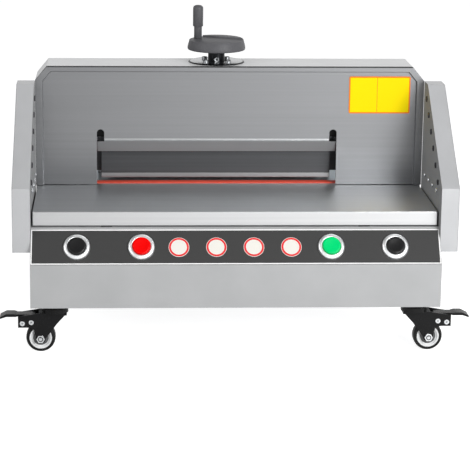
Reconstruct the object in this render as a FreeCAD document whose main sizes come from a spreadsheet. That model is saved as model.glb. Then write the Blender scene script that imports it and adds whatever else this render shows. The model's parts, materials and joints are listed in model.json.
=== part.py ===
# An electric paper cutter on casters: a folded steel body with a slanted row of
# buttons, a steel table between two light-curtain wings, and a gantry that
# holds the knife, the clamp and its handwheel, and a hinged cover behind.
# X runs to the right from the middle, Y back from the front of the body (the
# nodes are then moved so that the origin is in the middle of the footprint),
# and Z up from the floor. All sizes are in millimetres and degrees.

import FreeCAD, Part
import os
import re
import Sketcher
from math import cos, pi, sin

sizes = {
    # fits and cutters
    "running_fit": 0.05,
    "slide_fit": 0.3,
    "loose_fit": 0.6,
    "over": 1,

    # body: a folded casing on a base plate
    "body_width": 556,
    "body_depth": 560,
    "body_sheet": 2,
    "caster_height": 69.5,
    "base_recess": 3,
    "front_height": 59.5,
    "panel_run": 33,
    "panel_rise": 44.3,
    "ledge_width": 25,

    # table on its pads, with the cutting stick let into it
    "pad_height": 1,
    "pad_size": 15,
    "pad_spread": 175.5,
    "pad_inset": 3.75,
    "table_thick": 19.9,
    "table_skin": 7,
    "table_rim": 12,
    "table_side_gap": 2,
    "table_setback": 4.5,
    "table_tail": 3,
    "band_margin": 16,
    "work_offset": 18.3,
    "cut_line": 227.8,
    "stick_width": 16,
    "stick_spare": 31,
    "stick_fit": 0.15,
    "stick_proud": 0.7,
    "stick_overlap": 0.7,

    # gantry
    "gantry_front": 197.5,
    "gantry_depth": 80,
    "gantry_height": 172.8,
    "corner_run": 16.5,
    "corner_rise": 20,
    "cover_sheet": 1.5,
    "guard_sheet": 2,
    "dish_depth": 4.5,
    "border_side": 11.5,
    "border_top": 8,
    "border_fold": 1.2,
    "opening_spare": 5.85,
    "opening_height": 67.8,
    "end_slot": 10.5,
    "slot_rise": 13.5,
    "slot_dip": 4.6,
    "lip_gap": 0.5,
    "lip_reach": 11.3,
    "lip_drop": 20.5,
    "lip_thick": 2.3,
    "back_opening": 70.8,
    "frame_clear": 5,
    "frame_thick": 12,
    "groove_depth": 4,
    "groove_spare": 4,
    "beam_height": 18,
    "beam_clear": 4.5,
    "notice_left": 170.5,
    "notice_width": 88,
    "notice_height": 53.6,
    "notice_drop": 14,
    "notice_sheet": 0.8,

    # knife, its carrier and the pull rods
    "knife_travel": 46.5,
    "knife_kiss": 0.1,
    "knife_spare": 13.5,
    "knife_height": 62,
    "knife_thick": 8,
    "knife_bevel": 20,
    "knife_tip": 0.4,
    "knife_lap": 16,
    "carrier_height": 47.5,
    "carrier_thick": 10.5,
    "bolt_count": 5,
    "bolt_pitch": 80,
    "bolt_radius": 4,
    "bolt_head": 6.5,
    "bolt_head_height": 4,
    "rod_clear": 16.5,
    "rod_width": 14,
    "rod_depth": 6.8,
    "rod_slot_gap": 1,
    "eye_wall": 7,

    # rocker and drive
    "rocker_arm": 70,
    "rocker_height": 120,
    "rocker_radius": 10,
    "rocker_pin": 4,
    "rocker_hub": 16,
    "arm_width": 18,
    "arm_thick": 8,
    "arm_gap": 4,
    "bearing_width": 18,
    "bearing_gap": 8,
    "bearing_reach": 22,
    "bearing_wall": 16,
    "gearbox_gap": 12.7,
    "gearbox_width": 80,
    "gearbox_front": 35,
    "gearbox_back": 40,
    "gearbox_height": 93.5,
    "motor_radius": 38,
    "motor_length": 135,
    "motor_cap": 12,
    "motor_cap_radius": 34,
    "motor_foot": 50,
    "control_left": 255,
    "control_width": 180,
    "control_depth": 130,
    "control_gap": 16,
    "control_height": 80,
    "control_lid": 2,
    "inlet_left": 215,
    "inlet_width": 40,
    "inlet_height": 26,
    "inlet_level": 40,
    "inlet_depth": 22,
    "inlet_wall": 5,
    "inlet_side": 2.5,
    "inlet_lip": 1.25,
    "inlet_flange": 2.5,
    "inlet_lap": 4,
    "inlet_pin_count": 3,
    "inlet_pin": 2,
    "inlet_pin_height": 5,
    "inlet_pin_pitch": 7,
    "inlet_pin_length": 14,

    # clamp, spindle and handwheel
    "clamp_gap": 1.2,
    "clamp_length": 333,
    "clamp_depth": 30,
    "clamp_rest": 5.1,
    "clamp_height": 39.7,
    "foot_height": 7,
    "ear_depth": 14,
    "clamp_rise": 34.9,
    "ear_spare": 9,
    "spindle_radius": 7,
    "spindle_gap": 0.7,
    "spindle_socket": 14,
    "flange_radius": 40.3,
    "flange_sheet": 1.5,
    "boss_radius": 16,
    "flange_gap": 1.3,
    "flange_bolt_count": 4,
    "flange_bolt": 4,
    "flange_bolt_height": 3.5,
    "flange_bolt_circle": 23,
    "flange_bolt_turn": 45,
    "hub_radius": 12,
    "hub_sink": 0.5,
    "hub_height": 18.5,
    "set_screw": 3.6,
    "set_screw_length": 7,
    "set_screw_proud": 0.5,
    "set_screw_rise": 5,
    "wheel_radius": 41.8,
    "wheel_top_radius": 39,
    "wheel_height": 16,
    "wheel_band": 5,
    "wheel_crown": 1.5,
    "wheel_crown_fall": 1.2,
    "step_drop": 2,
    "step_left": 18.6,
    "step_left_back": 30,
    "step_right": 35,
    "step_right_back": 2,
    "grip_side": 26.4,
    "grip_back": 12,
    "grip_height": 48.7,
    "grip_radius": 7.4,
    "grip_neck": 5.7,
    "grip_neck_height": 17.5,
    "grip_shoulder": 1,
    "grip_crown": 5,
    "grip_gap": 0.3,
    "grip_pin": 3,
    "grip_pin_height": 30,

    # wings with the light curtains
    "wing_setback": 21,
    "wing_depth": 24.5,
    "wing_sheet": 1.5,
    "wing_cover_sheet": 1.2,
    "wing_lap": 31.8,
    "wing_front_rise": 56.2,
    "wing_height": 174.2,
    "wing_top_run": 29.5,
    "wing_back_gap": 1.5,
    "window_count": 6,
    "window_pitch": 30,
    "window_front": 54,
    "window_rise": 57.7,
    "window_radius": 4,
    "window_proud": 0.5,
    "board_end": 12,
    "board_half": 9,
    "board_thick": 1.6,
    "wing_screw_count": 4,
    "wing_screw_front": 62,
    "wing_screw_pitch": 32.7,
    "wing_screw_rise": 45,
    "wing_screw_radius": 3,
    "wing_screw_head": 1.2,
    "wing_screw_shank": 1.5,
    "wing_screw_length": 6,

    # slanted panel with its buttons
    "overlay_sheet": 0.8,
    "overlay_low": 1.1,
    "overlay_high": 3,
    "overlay_side": 0.5,
    "row_drop": 1.6,
    "button_outer": 215.5,
    "button_inner": 128.5,
    "bezel_radius": 18.15,
    "bezel_height": 5,
    "bezel_floor": 0.5,
    "cap_radius": 12.2,
    "cap_fit": 0.4,
    "cap_height": 4,
    "cap_proud": 2.7,
    "barrel_radius": 11,
    "barrel_depth": 22,
    "barrel_end": 2,
    "nut_radius": 15,
    "nut_height": 4,
    "stem_radius": 7.7,
    "stem_depth": 16,
    "block_width": 24,
    "block_height": 18,
    "panel_hole_fit": 0.2,
    "sticker_count": 4,
    "sticker_radius": 14,
    "sticker_sheet": 0.4,
    "sticker_pitch": 50.7,
    "sticker_shift": 1.8,

    # back gauge on its screw, side lays and rear cover
    "gauge_half": 160,
    "gauge_front": 340,
    "gauge_thick": 12,
    "gauge_height": 48.4,
    "gauge_float": 0.4,
    "gauge_slot": 16,
    "gauge_slot_margin": 30,
    "nut_width": 28,
    "nut_depth": 20,
    "nut_tall": 24,
    "screw_radius": 6,
    "screw_drop": 19.3,
    "screw_front": 247,
    "screw_bearing_front": 246,
    "screw_bearing_depth": 12,
    "band_spare": 4,
    "bush_radius": 10,
    "bush_depth": 10,
    "bush_flange": 14,
    "bush_flange_sheet": 3,
    "knob_radius": 25,
    "knob_reach": 36,
    "knob_width": 26,
    "knob_cover": 13,
    "knob_neck": 10,
    "knob_gap": 1,
    "lay_gap": 166,
    "lay_thick": 6,
    "lay_front": 285,
    "lay_length": 235,
    "lay_height": 30,
    "hood_half": 210,
    "hood_sheet": 3,
    "hood_front": 283,
    "hood_run": 217,
    "hood_drop": 38.5,
    "hood_tail": 48,
    "hood_float": 1,
    "hinge_below": 19,
    "hinge_notch": 9,
    "hinge_back": 7.5,
    "hinge_sink": 3.5,
    "hinge_spread": 120,
    "hinge_half": 25,
    "hinge_middle": 8,
    "knuckle_radius": 4.5,
    "hinge_pin": 2,
    "leaf_sheet": 2,
    "leaf_height": 24,

    # casters: two in front with brake pedals, two behind
    "caster_side": 245.5,
    "caster_inset": 25,
    "caster_plate": 46,
    "caster_plate_sheet": 2.5,
    "race_radius": 17,
    "race_bore": 5,
    "race_bottom": 62.5,
    "race_gap": 0.2,
    "swivel_radius": 18,
    "crown_top": 55.5,
    "fork_sheet": 3,
    "leg_sheet": 2.5,
    "leg_inside": 9.5,
    "fork_tail": 16,
    "leg_knee": 38,
    "leg_foot": 7,
    "leg_neck": 4,
    "throat_reach": 29,
    "throat_level": 33.5,
    "crown_front": 22,
    "trail": 19.5,
    "wheel_size": 20,
    "wheel_half": 8.5,
    "rim_radius": 15.8,
    "rim_recess": 1.5,
    "rim_dish": 9,
    "axle_radius": 4,
    "nut_across": 11.5,
    "nut_thick": 4,
    "bracket_reach": 50,
    "bracket_top": 51,
    "bracket_bottom": 35.5,
    "bracket_root": 36,
    "rivet_radius": 2.5,
    "rivet_head": 3,
    "rivet_head_height": 1,
    "pivot_reach": 32,
    "pivot_level": 43,
    "stop_reach": 44,
    "stop_level": 41.5,
    "pedal_reach": 75,
    "pedal_level": 50,
    "pedal_sheet": 3,
    "pedal_half": 8,
    "pedal_back": 27,
    "pedal_pad": 52,
    "pedal_pad_half": 10,
    "pedal_pad_height": 4,
    "pedal_nose": 9,
    "pedal_droop": 3,
    "pedal_tip": 2.5,
    "pedal_barrel": 4.5,
}

# places worked out from the sizes, each a formula
places = {
    "front": "-(body_depth + knob_reach) / 2",
    "half_body": "body_width / 2",
    "wall_inside": "half_body - body_sheet",
    "body_bottom": "caster_height - base_recess",
    "base_top": "caster_height + body_sheet",
    "fold_height": "body_bottom + front_height",
    "ledge_height": "fold_height + panel_rise",
    "panel_slant": "sqrt(panel_run ^ 2 + panel_rise ^ 2)",
    "panel_tilt": "atan(panel_rise / panel_run)",

    "work": "-work_offset",
    "table_under": "ledge_height + pad_height",
    "table_top": "table_under + table_thick",
    "half_table": "half_body - table_side_gap",
    "table_front": "panel_run + table_setback",
    "table_back": "body_depth - table_tail",
    "stick_top": "table_top + stick_proud",
    "stick_half": "clamp_length / 2 + stick_spare",
    "stick_back": "cut_line + stick_overlap",
    "stick_front": "stick_back - stick_width",
    "band_front": "stick_front - band_margin",
    "band_back": "screw_bearing_front + screw_bearing_depth + band_spare",

    "gantry_top": "table_top + gantry_height",
    "plate_front": "gantry_front + dish_depth",
    "guard_back": "plate_front + guard_sheet",
    "gantry_back": "gantry_front + gantry_depth",
    "back_front": "gantry_back - cover_sheet",
    "corner_slant": "sqrt(corner_run ^ 2 + corner_rise ^ 2)",
    "bend_height": "table_top + opening_height",
    "slot_top": "bend_height + slot_rise",
    "opening_half": "clamp_length / 2 + opening_spare",
    "lip_half": "opening_half - lip_gap",
    "frame_inside": "rod_outside + frame_clear",
    "frame_outside": "frame_inside + frame_thick",
    "beam_top": "gantry_top - cover_sheet - beam_clear",
    "beam_bottom": "beam_top - beam_height",

    "knife_edge": "stick_top + knife_kiss + knife_travel",
    "knife_top": "knife_edge + knife_height",
    "knife_front": "cut_line - knife_thick",
    "knife_half": "clamp_length / 2 + knife_spare",
    "carrier_bottom": "knife_top - knife_lap",
    "carrier_top": "carrier_bottom + carrier_height",
    "carrier_back": "cut_line + carrier_thick",
    "carrier_half": "frame_inside + groove_depth - slide_fit",
    "rod_front": "carrier_back - rod_depth",
    "rod_middle": "carrier_back - rod_depth / 2",
    "rod_inside": "clamp_length / 2 + rod_clear",
    "rod_outside": "rod_inside + rod_width",
    "rocker_park": "asin(knife_travel / 2 / rocker_arm)",
    "rocker_depth": "rod_middle + rocker_arm",
    "eye_height": "rocker_height + knife_travel / 2",
    "eye_near": "rocker_depth - rocker_arm - rocker_pin - loose_fit",
    "eye_far": "rocker_depth - rocker_arm * cos(rocker_park) + rocker_pin + loose_fit",
    "eye_half": "rocker_pin + loose_fit + eye_wall",
    "arm_inside": "rod_inside - arm_gap - arm_thick",
    "bearing_inside": "rod_outside + bearing_gap",
    "gearbox_right": "work + arm_inside - gearbox_gap",
    "gearbox_left": "gearbox_right - gearbox_width",
    "motor_middle": "gearbox_right - gearbox_width / 2",
    "motor_front": "rocker_depth + gearbox_back",
    "motor_level": "base_top + gearbox_height / 2",
    "control_right": "-control_left + control_width",
    "control_back": "body_depth - inlet_depth - control_gap - control_lid",
    "control_front": "control_back - control_depth",

    "clamp_front": "cut_line + clamp_gap",
    "clamp_back": "clamp_front + clamp_depth",
    "ear_front": "clamp_back - ear_depth",
    "clamp_foot_bottom": "table_top + clamp_rest",
    "clamp_top": "clamp_foot_bottom + clamp_height",
    "spindle_depth": "carrier_back + spindle_gap + spindle_radius",
    "spindle_bottom": "clamp_top - spindle_socket",
    "flange_top": "gantry_top + flange_sheet",
    "hub_bottom": "gantry_top - hub_sink",
    "wheel_bottom": "hub_bottom + hub_height",
    "wheel_top": "wheel_bottom + wheel_height",

    "wing_front": "wing_setback",
    "wing_back": "gantry_front - wing_back_gap",
    "wing_bottom": "ledge_height - wing_lap",
    "wing_shoulder": "ledge_height + wing_front_rise",
    "wing_top": "ledge_height + wing_height",
    "wing_run": "wing_back - wing_top_run - wing_front",
    "wing_rise": "wing_top - wing_shoulder",
    "wing_slant": "sqrt(wing_run ^ 2 + wing_rise ^ 2)",
    "window_low": "ledge_height + window_rise",
    "wing_outside": "half_body + wing_depth",
    "wing_pan": "wing_outside - wing_cover_sheet",

    "bezel_top": "overlay_sheet + bezel_height",
    "cap_top": "bezel_top + cap_proud",
    "cap_under": "cap_top - cap_height",

    "inlet_low": "base_top + inlet_level",
    "inlet_tall": "inlet_height - 2 * inlet_lap",
    "inlet_middle": "-inlet_left + inlet_width / 2",
    "inlet_half": "inlet_width / 2 - inlet_lap",

    "screw_level": "table_under - screw_drop",
    "gauge_under": "table_top + gauge_float",
    "gauge_slot_end": "body_depth - gauge_slot_margin",
    "knob_end": "body_depth + knob_reach",
    "hood_crest": "hinge_level - hinge_sink",
    "hinge_level": "gantry_top - hinge_below",
    "hinge_depth": "gantry_back + hinge_back",
    "hood_knee": "hood_front + hood_run",
    "hood_knee_level": "hood_crest - hood_drop",
    "hood_bottom": "table_top + hood_float",
    "hood_fall": "hood_knee_level - hood_bottom",
    "hood_lean": "hood_tail / hood_fall",
    "hood_pitch": "hood_drop / hood_run",
    "hood_down": "hood_sheet * sqrt(1 + hood_pitch ^ 2)",
    "hood_in": "hood_sheet * sqrt(1 + hood_lean ^ 2)",
    "hood_shift": "(hood_lean * hood_down - hood_in) / (1 - hood_lean * hood_pitch)",

    "race_top": "caster_height - caster_plate_sheet",
    "leg_outside": "leg_inside + leg_sheet",
    "crown_under": "crown_top - fork_sheet",
}

doc = FreeCAD.newDocument("PaperCutter")
sheet = doc.addObject("Spreadsheet::Sheet", "Sizes")
for row, (alias, value) in enumerate(sizes.items(), start=1):
    sheet.set(f"A{row}", alias)
    sheet.set(f"B{row}", str(value))
    sheet.setAlias(f"B{row}", alias)
doc.recompute()


def bound(formula):
    """A formula with each size and place in it pointing at the spreadsheet."""
    def swap(word):
        name = word.group(0)
        if name in sizes:
            return "Sizes." + name
        if name in places:
            return "(" + bound(places[name]) + ")"
        return name
    return re.sub(r"[A-Za-z_]\w*", swap, formula)


def bind(thing, path, formula):
    thing.setExpression(path, bound(formula))


def box(name, x, y, z):
    """A block between two places along each direction."""
    thing = doc.addObject("Part::Box", name)
    for side, letter, (low, high) in zip(("Length", "Width", "Height"), "xyz", (x, y, z)):
        bind(thing, side, f"({high}) - ({low})")
        bind(thing, f"Placement.Base.{letter}", low)
    return thing


turns = {
    "x": FreeCAD.Rotation(FreeCAD.Vector(0, 1, 0), 90),
    "y": FreeCAD.Rotation(FreeCAD.Vector(1, 0, 0), -90),
    "z": FreeCAD.Rotation(),
}


def rod(name, radius, x, y, z):
    """A round bar that runs along the one direction given as two places."""
    thing = doc.addObject("Part::Cylinder", name)
    bind(thing, "Radius", radius)
    for letter, place in zip("xyz", (x, y, z)):
        if isinstance(place, tuple):
            thing.Placement = FreeCAD.Placement(FreeCAD.Vector(), turns[letter])
            bind(thing, "Height", f"({place[1]}) - ({place[0]})")
    for letter, place in zip("xyz", (x, y, z)):
        bind(thing, f"Placement.Base.{letter}", place[0] if isinstance(place, tuple) else place)
    return thing


def join(name, *pieces):
    thing = doc.addObject("Part::MultiFuse", name)
    thing.Shapes = list(pieces)
    thing.Refine = True
    return thing


def cut(name, base, *tools):
    thing = doc.addObject("Part::Cut", name)
    thing.Base = base
    thing.Tool = tools[0] if len(tools) == 1 else join(name + "_cutters", *tools)
    return thing


first_guess = 100  # a radius to draw the corners on, before their formulas move them


def polygon(sketch, points):
    """A closed outline of straight edges, each corner held by two formulas."""
    first = sketch.GeometryCount
    angles = [2 * pi * i / len(points) for i in range(len(points))]
    corners = [FreeCAD.Vector(first_guess * cos(a), first_guess * sin(a), 0) for a in angles]
    for i, corner in enumerate(corners):
        sketch.addGeometry(Part.LineSegment(corner, corners[(i + 1) % len(points)]), False)
    for i in range(len(points)):
        after = first + (i + 1) % len(points)
        sketch.addConstraint(Sketcher.Constraint("Coincident", first + i, 2, after, 1))
    for i, (across, up) in enumerate(points):
        for kind, formula in (("DistanceX", across), ("DistanceY", up)):
            held = sketch.addConstraint(Sketcher.Constraint(kind, -1, 1, first + i, 1, 1.0))
            bind(sketch, f"Constraints[{held}]", formula)


def sketch_on(body, name, role, offset):
    sketch = body.newObject("Sketcher::SketchObject", name)
    origin = next(part for part in body.Origin.OriginFeatures if part.Role == role)
    sketch.AttachmentSupport = [(origin, "")]
    sketch.MapMode = "FlatFace"
    bind(sketch, "AttachmentOffset.Base.z", offset)
    return sketch


def prism(name, plane, points, low, high):
    """A body padded from one outline in the yz, xz or xy plane, from low to high."""
    role, offset = {
        "yz": ("YZ_Plane", low),
        "xz": ("XZ_Plane", f"-({high})"),
        "xy": ("XY_Plane", low),
    }[plane]
    body = doc.addObject("PartDesign::Body", name)
    sketch = sketch_on(body, name + "_outline", role, offset)
    polygon(sketch, points)
    pad = body.newObject("PartDesign::Pad", name + "_pad")
    pad.Profile = sketch
    bind(pad, "Length", f"({high}) - ({low})")
    return body


def turned(name, points, x, y, z):
    """A body turned about its own upright axis from half an outline."""
    body = doc.addObject("PartDesign::Body", name)
    sketch = sketch_on(body, name + "_outline", "XZ_Plane", "0")
    polygon(sketch, points)
    whole = body.newObject("PartDesign::Revolution", name + "_turning")
    whole.Profile = sketch
    whole.ReferenceAxis = (sketch, ["V_Axis"])
    whole.Angle = 360
    for letter, place in zip("xyz", (x, y, z)):
        bind(body, f"Placement.Base.{letter}", place)
    return body


def placed(name, pieces, x="0", y="0", z="0", axis=(0, 0, 1), turn="0"):
    """The pieces as one group, turned and then moved to a place."""
    thing = doc.addObject("Part::Compound", name)
    thing.Links = list(pieces)
    if turn != "0":
        thing.Placement = FreeCAD.Placement(FreeCAD.Vector(), FreeCAD.Rotation(FreeCAD.Vector(*axis), 1))
        bind(thing, "Placement.Rotation.Angle", turn)
    for letter, place in zip("xyz", (x, y, z)):
        bind(thing, f"Placement.Base.{letter}", place)
    return thing


nodes = []


def node(name, *pieces, x="0", y="front", turn="0"):
    """A sub-part of the machine, named and moved into the machine's own frame."""
    thing = placed(name, pieces, x=x, y=y, turn=turn)
    thing.Label = name
    nodes.append(thing)
    return thing


def beside(side, near, far, middle="0"):
    """Two places, near and far, on one side of a middle line."""
    if side == "left":
        return f"{middle} - ({far})", f"{middle} - ({near})"
    return f"{middle} + ({near})", f"{middle} + ({far})"


def about(middle, half):
    return f"{middle} - ({half})", f"{middle} + ({half})"


sides = ("left", "right")


def on_panel(name, pieces, x):
    """Pieces made upright at the origin, stood on the slanted panel, a little below its middle."""
    up = "(1 / 2 - row_drop / panel_slant)"
    return placed(name, pieces, x=x, y=f"panel_run * {up}", z=f"fold_height + panel_rise * {up}",
                  axis=(1, 0, 0), turn="panel_tilt")


button_places = {
    "cut_button_left": "-button_outer",
    "power_button": "-button_inner",
    "reset_button": "button_inner",
    "cut_button_right": "button_outer",
}


def make_body():
    outside = prism("casing_outside", "yz", [
        ("0", "body_bottom"),
        ("0", "fold_height"),
        ("panel_run", "ledge_height"),
        ("body_depth", "ledge_height"),
        ("body_depth", "body_bottom"),
    ], "-half_body", "half_body")
    inside = prism("casing_inside", "yz", [
        ("body_sheet", "body_bottom - over"),
        ("body_sheet", "fold_height - body_sheet * (panel_slant - panel_rise) / panel_run"),
        ("panel_run + body_sheet * (panel_slant - panel_run) / panel_rise", "ledge_height - body_sheet"),
        ("body_depth - body_sheet", "ledge_height - body_sheet"),
        ("body_depth - body_sheet", "body_bottom - over"),
    ], "-wall_inside", "wall_inside")
    top = box("casing_mouth", about("0", "half_body - ledge_width"),
              ("panel_run + ledge_width", "body_depth - ledge_width"),
              ("ledge_height - body_sheet - over", "ledge_height + over"))
    hole = rod("button_hole", "barrel_radius + panel_hole_fit", "0", "0", ("-body_sheet - over", "over"))
    holes = [on_panel(f"{name}_hole", [hole], x) for name, x in button_places.items()]
    bush_hole = rod("bush_hole", "bush_radius + slide_fit", "work",
                    ("body_depth - body_sheet - over", "body_depth + over"), "screw_level")
    inlet_hole = box("inlet_hole", about("inlet_middle", "inlet_half + slide_fit"),
                     ("body_depth - body_sheet - over", "body_depth + over"),
                     ("inlet_low - slide_fit", "inlet_low + inlet_tall + slide_fit"))
    node("base_casing", cut("casing", outside, inside, top, bush_hole, inlet_hole, *holes))
    node("base_plate", box("base_sheet", about("0", "wall_inside"),
                           ("body_sheet", "body_depth - body_sheet"), ("caster_height", "base_top")))


def make_table():
    slab = box("table_slab", about("0", "half_table"), ("table_front", "table_back"),
               ("table_under", "table_top"))
    hollow = about("0", "half_table - table_rim")
    under = ("table_under - over", "table_top - table_skin")
    pockets = [
        box("front_pocket", hollow, ("table_front + table_rim", "band_front"), under),
        box("rear_pocket", hollow, ("band_back", "table_back - table_rim"), under),
    ]
    through = ("table_under - over", "table_top + over")
    groove = box("stick_groove", about("work", "stick_half + stick_fit"),
                 ("stick_front - stick_fit", "stick_back + stick_fit"),
                 ("stick_top - stick_width", "table_top + over"))
    gauge_slot = box("gauge_slot", about("work", "gauge_slot / 2"), ("band_back", "gauge_slot_end"), through)
    rod_slots = [
        box(f"{side}_rod_slot",
            beside(side, "rod_inside - rod_slot_gap", "rod_outside + rod_slot_gap", "work"),
            ("rod_front - rod_slot_gap", "carrier_back + rod_slot_gap"), through)
        for side in sides
    ]
    node("work_table", cut("table", slab, groove, gauge_slot, *pockets, *rod_slots))

    pads = []
    for side in sides:
        for name, near, low in (
            ("front", "pad_spread - pad_size / 2", "table_front"),
            ("middle", "half_table - table_rim - pad_inset", "body_depth / 2"),
            ("rear", "pad_spread - pad_size / 2", "body_depth - ledge_width + pad_inset"),
        ):
            width = "table_rim" if name == "middle" else "pad_size"
            pads.append(box(f"{side}_{name}_pad", beside(side, near, f"{near} + {width}"),
                            (low, f"{low} + pad_size"), ("ledge_height", "table_under")))
    node("table_pads", *pads)
    node("cutting_stick", box("stick_bar", about("work", "stick_half"), ("stick_front", "stick_back"),
                              ("stick_top - stick_width", "stick_top")))


def gantry_outline(side, top, corner, bottom):
    """The gantry seen from the front, drawn in from its sides, top and corners."""
    half = f"half_body - ({side})"
    shoulder = f"gantry_top - corner_rise + ({side}) * corner_rise / corner_run" \
               f" - ({corner}) * corner_slant / corner_run"
    crest = f"half_body - corner_run + ({top}) * corner_run / corner_rise" \
            f" - ({corner}) * corner_slant / corner_rise"
    high = f"gantry_top - ({top})"
    return [
        (f"-({half})", bottom),
        (f"-({half})", shoulder),
        (f"-({crest})", high),
        (crest, high),
        (half, shoulder),
        (half, bottom),
    ]


def upright_sketch(name, points, depth):
    """An outline seen from the front, standing at one depth."""
    sketch = doc.addObject("Sketcher::SketchObject", name)
    sketch.Placement = FreeCAD.Placement(FreeCAD.Vector(), FreeCAD.Rotation(FreeCAD.Vector(1, 0, 0), 90))
    bind(sketch, "Placement.Base.y", depth)
    polygon(sketch, points)
    return sketch


def make_gantry():
    plate = prism("guard_slab", "xz", gantry_outline("0", "0", "0", "table_top"),
                  "gantry_front", "guard_back")
    dish = doc.addObject("Part::Loft", "guard_dish")
    dish.Sections = [
        upright_sketch("dish_rim", gantry_outline("border_side - border_fold", "border_top - border_fold",
                                                  "(border_side + border_top) / 2 - border_fold",
                                                  "table_top - over"), "gantry_front"),
        upright_sketch("dish_floor", gantry_outline("border_side", "border_top",
                                                    "(border_side + border_top) / 2", "table_top - over"),
                       "plate_front"),
    ]
    dish.Solid = True
    dish.Ruled = True
    through = ("gantry_front - over", "guard_back + over")
    mouth = box("guard_mouth", about("work", "opening_half"), through,
                ("table_top - over", "bend_height"))
    slots, dips = [], []
    for side in sides:
        width = beside(side, "opening_half - end_slot", "opening_half", "work")
        middle = f"({width[0]} + {width[1]}) / 2"
        slots.append(box(f"{side}_slot", width, through, ("bend_height - over", "slot_top - end_slot / 2")))
        slots.append(rod(f"{side}_slot_top", "end_slot / 2", middle, through, "slot_top - end_slot / 2"))
        dips.append(box(f"{side}_dip", width, ("plate_front - over", "plate_front + lip_reach"),
                        ("bend_height - slot_dip", "bend_height + over")))
    lip = prism("guard_lip", "yz", [
        ("plate_front", "bend_height"),
        ("plate_front + lip_reach", "bend_height - lip_drop"),
        ("plate_front + lip_reach + lip_thick", "bend_height - lip_drop"),
        ("plate_front + lip_thick", "bend_height"),
    ], "work - lip_half", "work + lip_half")
    node("front_guard", join("guard", cut("guard_plate", plate, dish, mouth, *slots), cut("lip", lip, *dips)))

    shell = prism("cover_outside", "xz", gantry_outline("0", "0", "0", "ledge_height"),
                  "guard_back", "back_front")
    hollow = prism("cover_inside", "xz",
                   gantry_outline("cover_sheet", "cover_sheet", "cover_sheet", "ledge_height - over"),
                   "guard_back - over", "back_front + over")
    boss_hole = rod("boss_hole", "boss_radius + slide_fit", "work", "spindle_depth",
                    ("gantry_top - cover_sheet - over", "gantry_top + over"))
    node("top_cover", cut("cover", shell, hollow, boss_hole))

    back = prism("back_slab", "xz", gantry_outline("0", "0", "0", "table_top"), "back_front", "gantry_back")
    back_mouth = box("back_mouth", about("work", "frame_inside"), ("back_front - over", "gantry_back + over"),
                     ("table_top - over", "table_top + back_opening"))
    node("gantry_back_panel", cut("back", back, back_mouth))

    depth = ("guard_back", "back_front")
    for side in sides:
        post = box(f"{side}_post", beside(side, "frame_inside", "frame_outside", "work"), depth,
                   ("table_top", "beam_bottom"))
        groove = beside(side, "frame_inside - over", "frame_inside + groove_depth", "work")
        carrier_groove = box(f"{side}_carrier_groove", groove,
                             ("cut_line - slide_fit", "carrier_back + slide_fit"),
                             ("carrier_bottom - knife_travel - groove_spare", "beam_bottom + over"))
        ear_groove = box(f"{side}_ear_groove", groove, ("ear_front - slide_fit", "clamp_back + slide_fit"),
                         ("table_top - over", "clamp_top + clamp_rise + ear_spare"))
        node(f"{side}_side_frame", cut(f"{side}_frame", post, carrier_groove, ear_groove))
    beam = box("beam", about("work", "frame_outside"), depth, ("beam_bottom", "beam_top"))
    bore = rod("beam_bore", "spindle_radius + running_fit", "work", "spindle_depth",
               ("beam_bottom - over", "beam_top + over"))
    node("top_crossbeam", cut("crossbeam", beam, bore))

    node("notice_plate", box("notice", ("notice_left", "notice_left + notice_width"),
                             ("plate_front - notice_sheet", "plate_front"),
                             ("gantry_top - notice_drop - notice_height", "gantry_top - notice_drop")))

    disc = rod("flange_disc", "flange_radius", "work", "spindle_depth", ("gantry_top", "flange_top"))
    boss = rod("flange_boss", "boss_radius", "work", "spindle_depth", ("beam_top", "flange_top"))
    flange_bore = rod("flange_bore", "hub_radius + flange_gap", "work", "spindle_depth",
                      ("beam_top - over", "flange_top + over"))
    bolts = []
    for i in range(sizes["flange_bolt_count"]):
        angle = f"(flange_bolt_turn + {i} * 360 / flange_bolt_count)"
        bolts.append(rod(f"flange_bolt_{i + 1}", "flange_bolt", f"work + flange_bolt_circle * cos({angle})",
                         f"spindle_depth + flange_bolt_circle * sin({angle})",
                         ("flange_top", "flange_top + flange_bolt_height")))
    node("spindle_flange", cut("flange", join("flange_blank", disc, boss), flange_bore), *bolts)


def wing_outline(inset):
    """A wing seen from its side, drawn in all round."""
    return [
        (f"wing_front + {inset}", f"wing_bottom + {inset}"),
        (f"wing_front + {inset}", f"wing_shoulder - {inset} * (wing_slant - wing_rise) / wing_run"),
        (f"wing_front + wing_run + {inset} * (wing_slant - wing_run) / wing_rise", f"wing_top - {inset}"),
        (f"wing_back - {inset}", f"wing_top - {inset}"),
        (f"wing_back - {inset}", f"wing_bottom + {inset}"),
    ]


def along_wing(distance, off="0"):
    """A place along the row of windows, or off it towards the slanted edge."""
    return (f"window_front + (({distance}) * wing_run - ({off}) * wing_rise) / wing_slant",
            f"window_low + (({distance}) * wing_rise + ({off}) * wing_run) / wing_slant")


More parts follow.
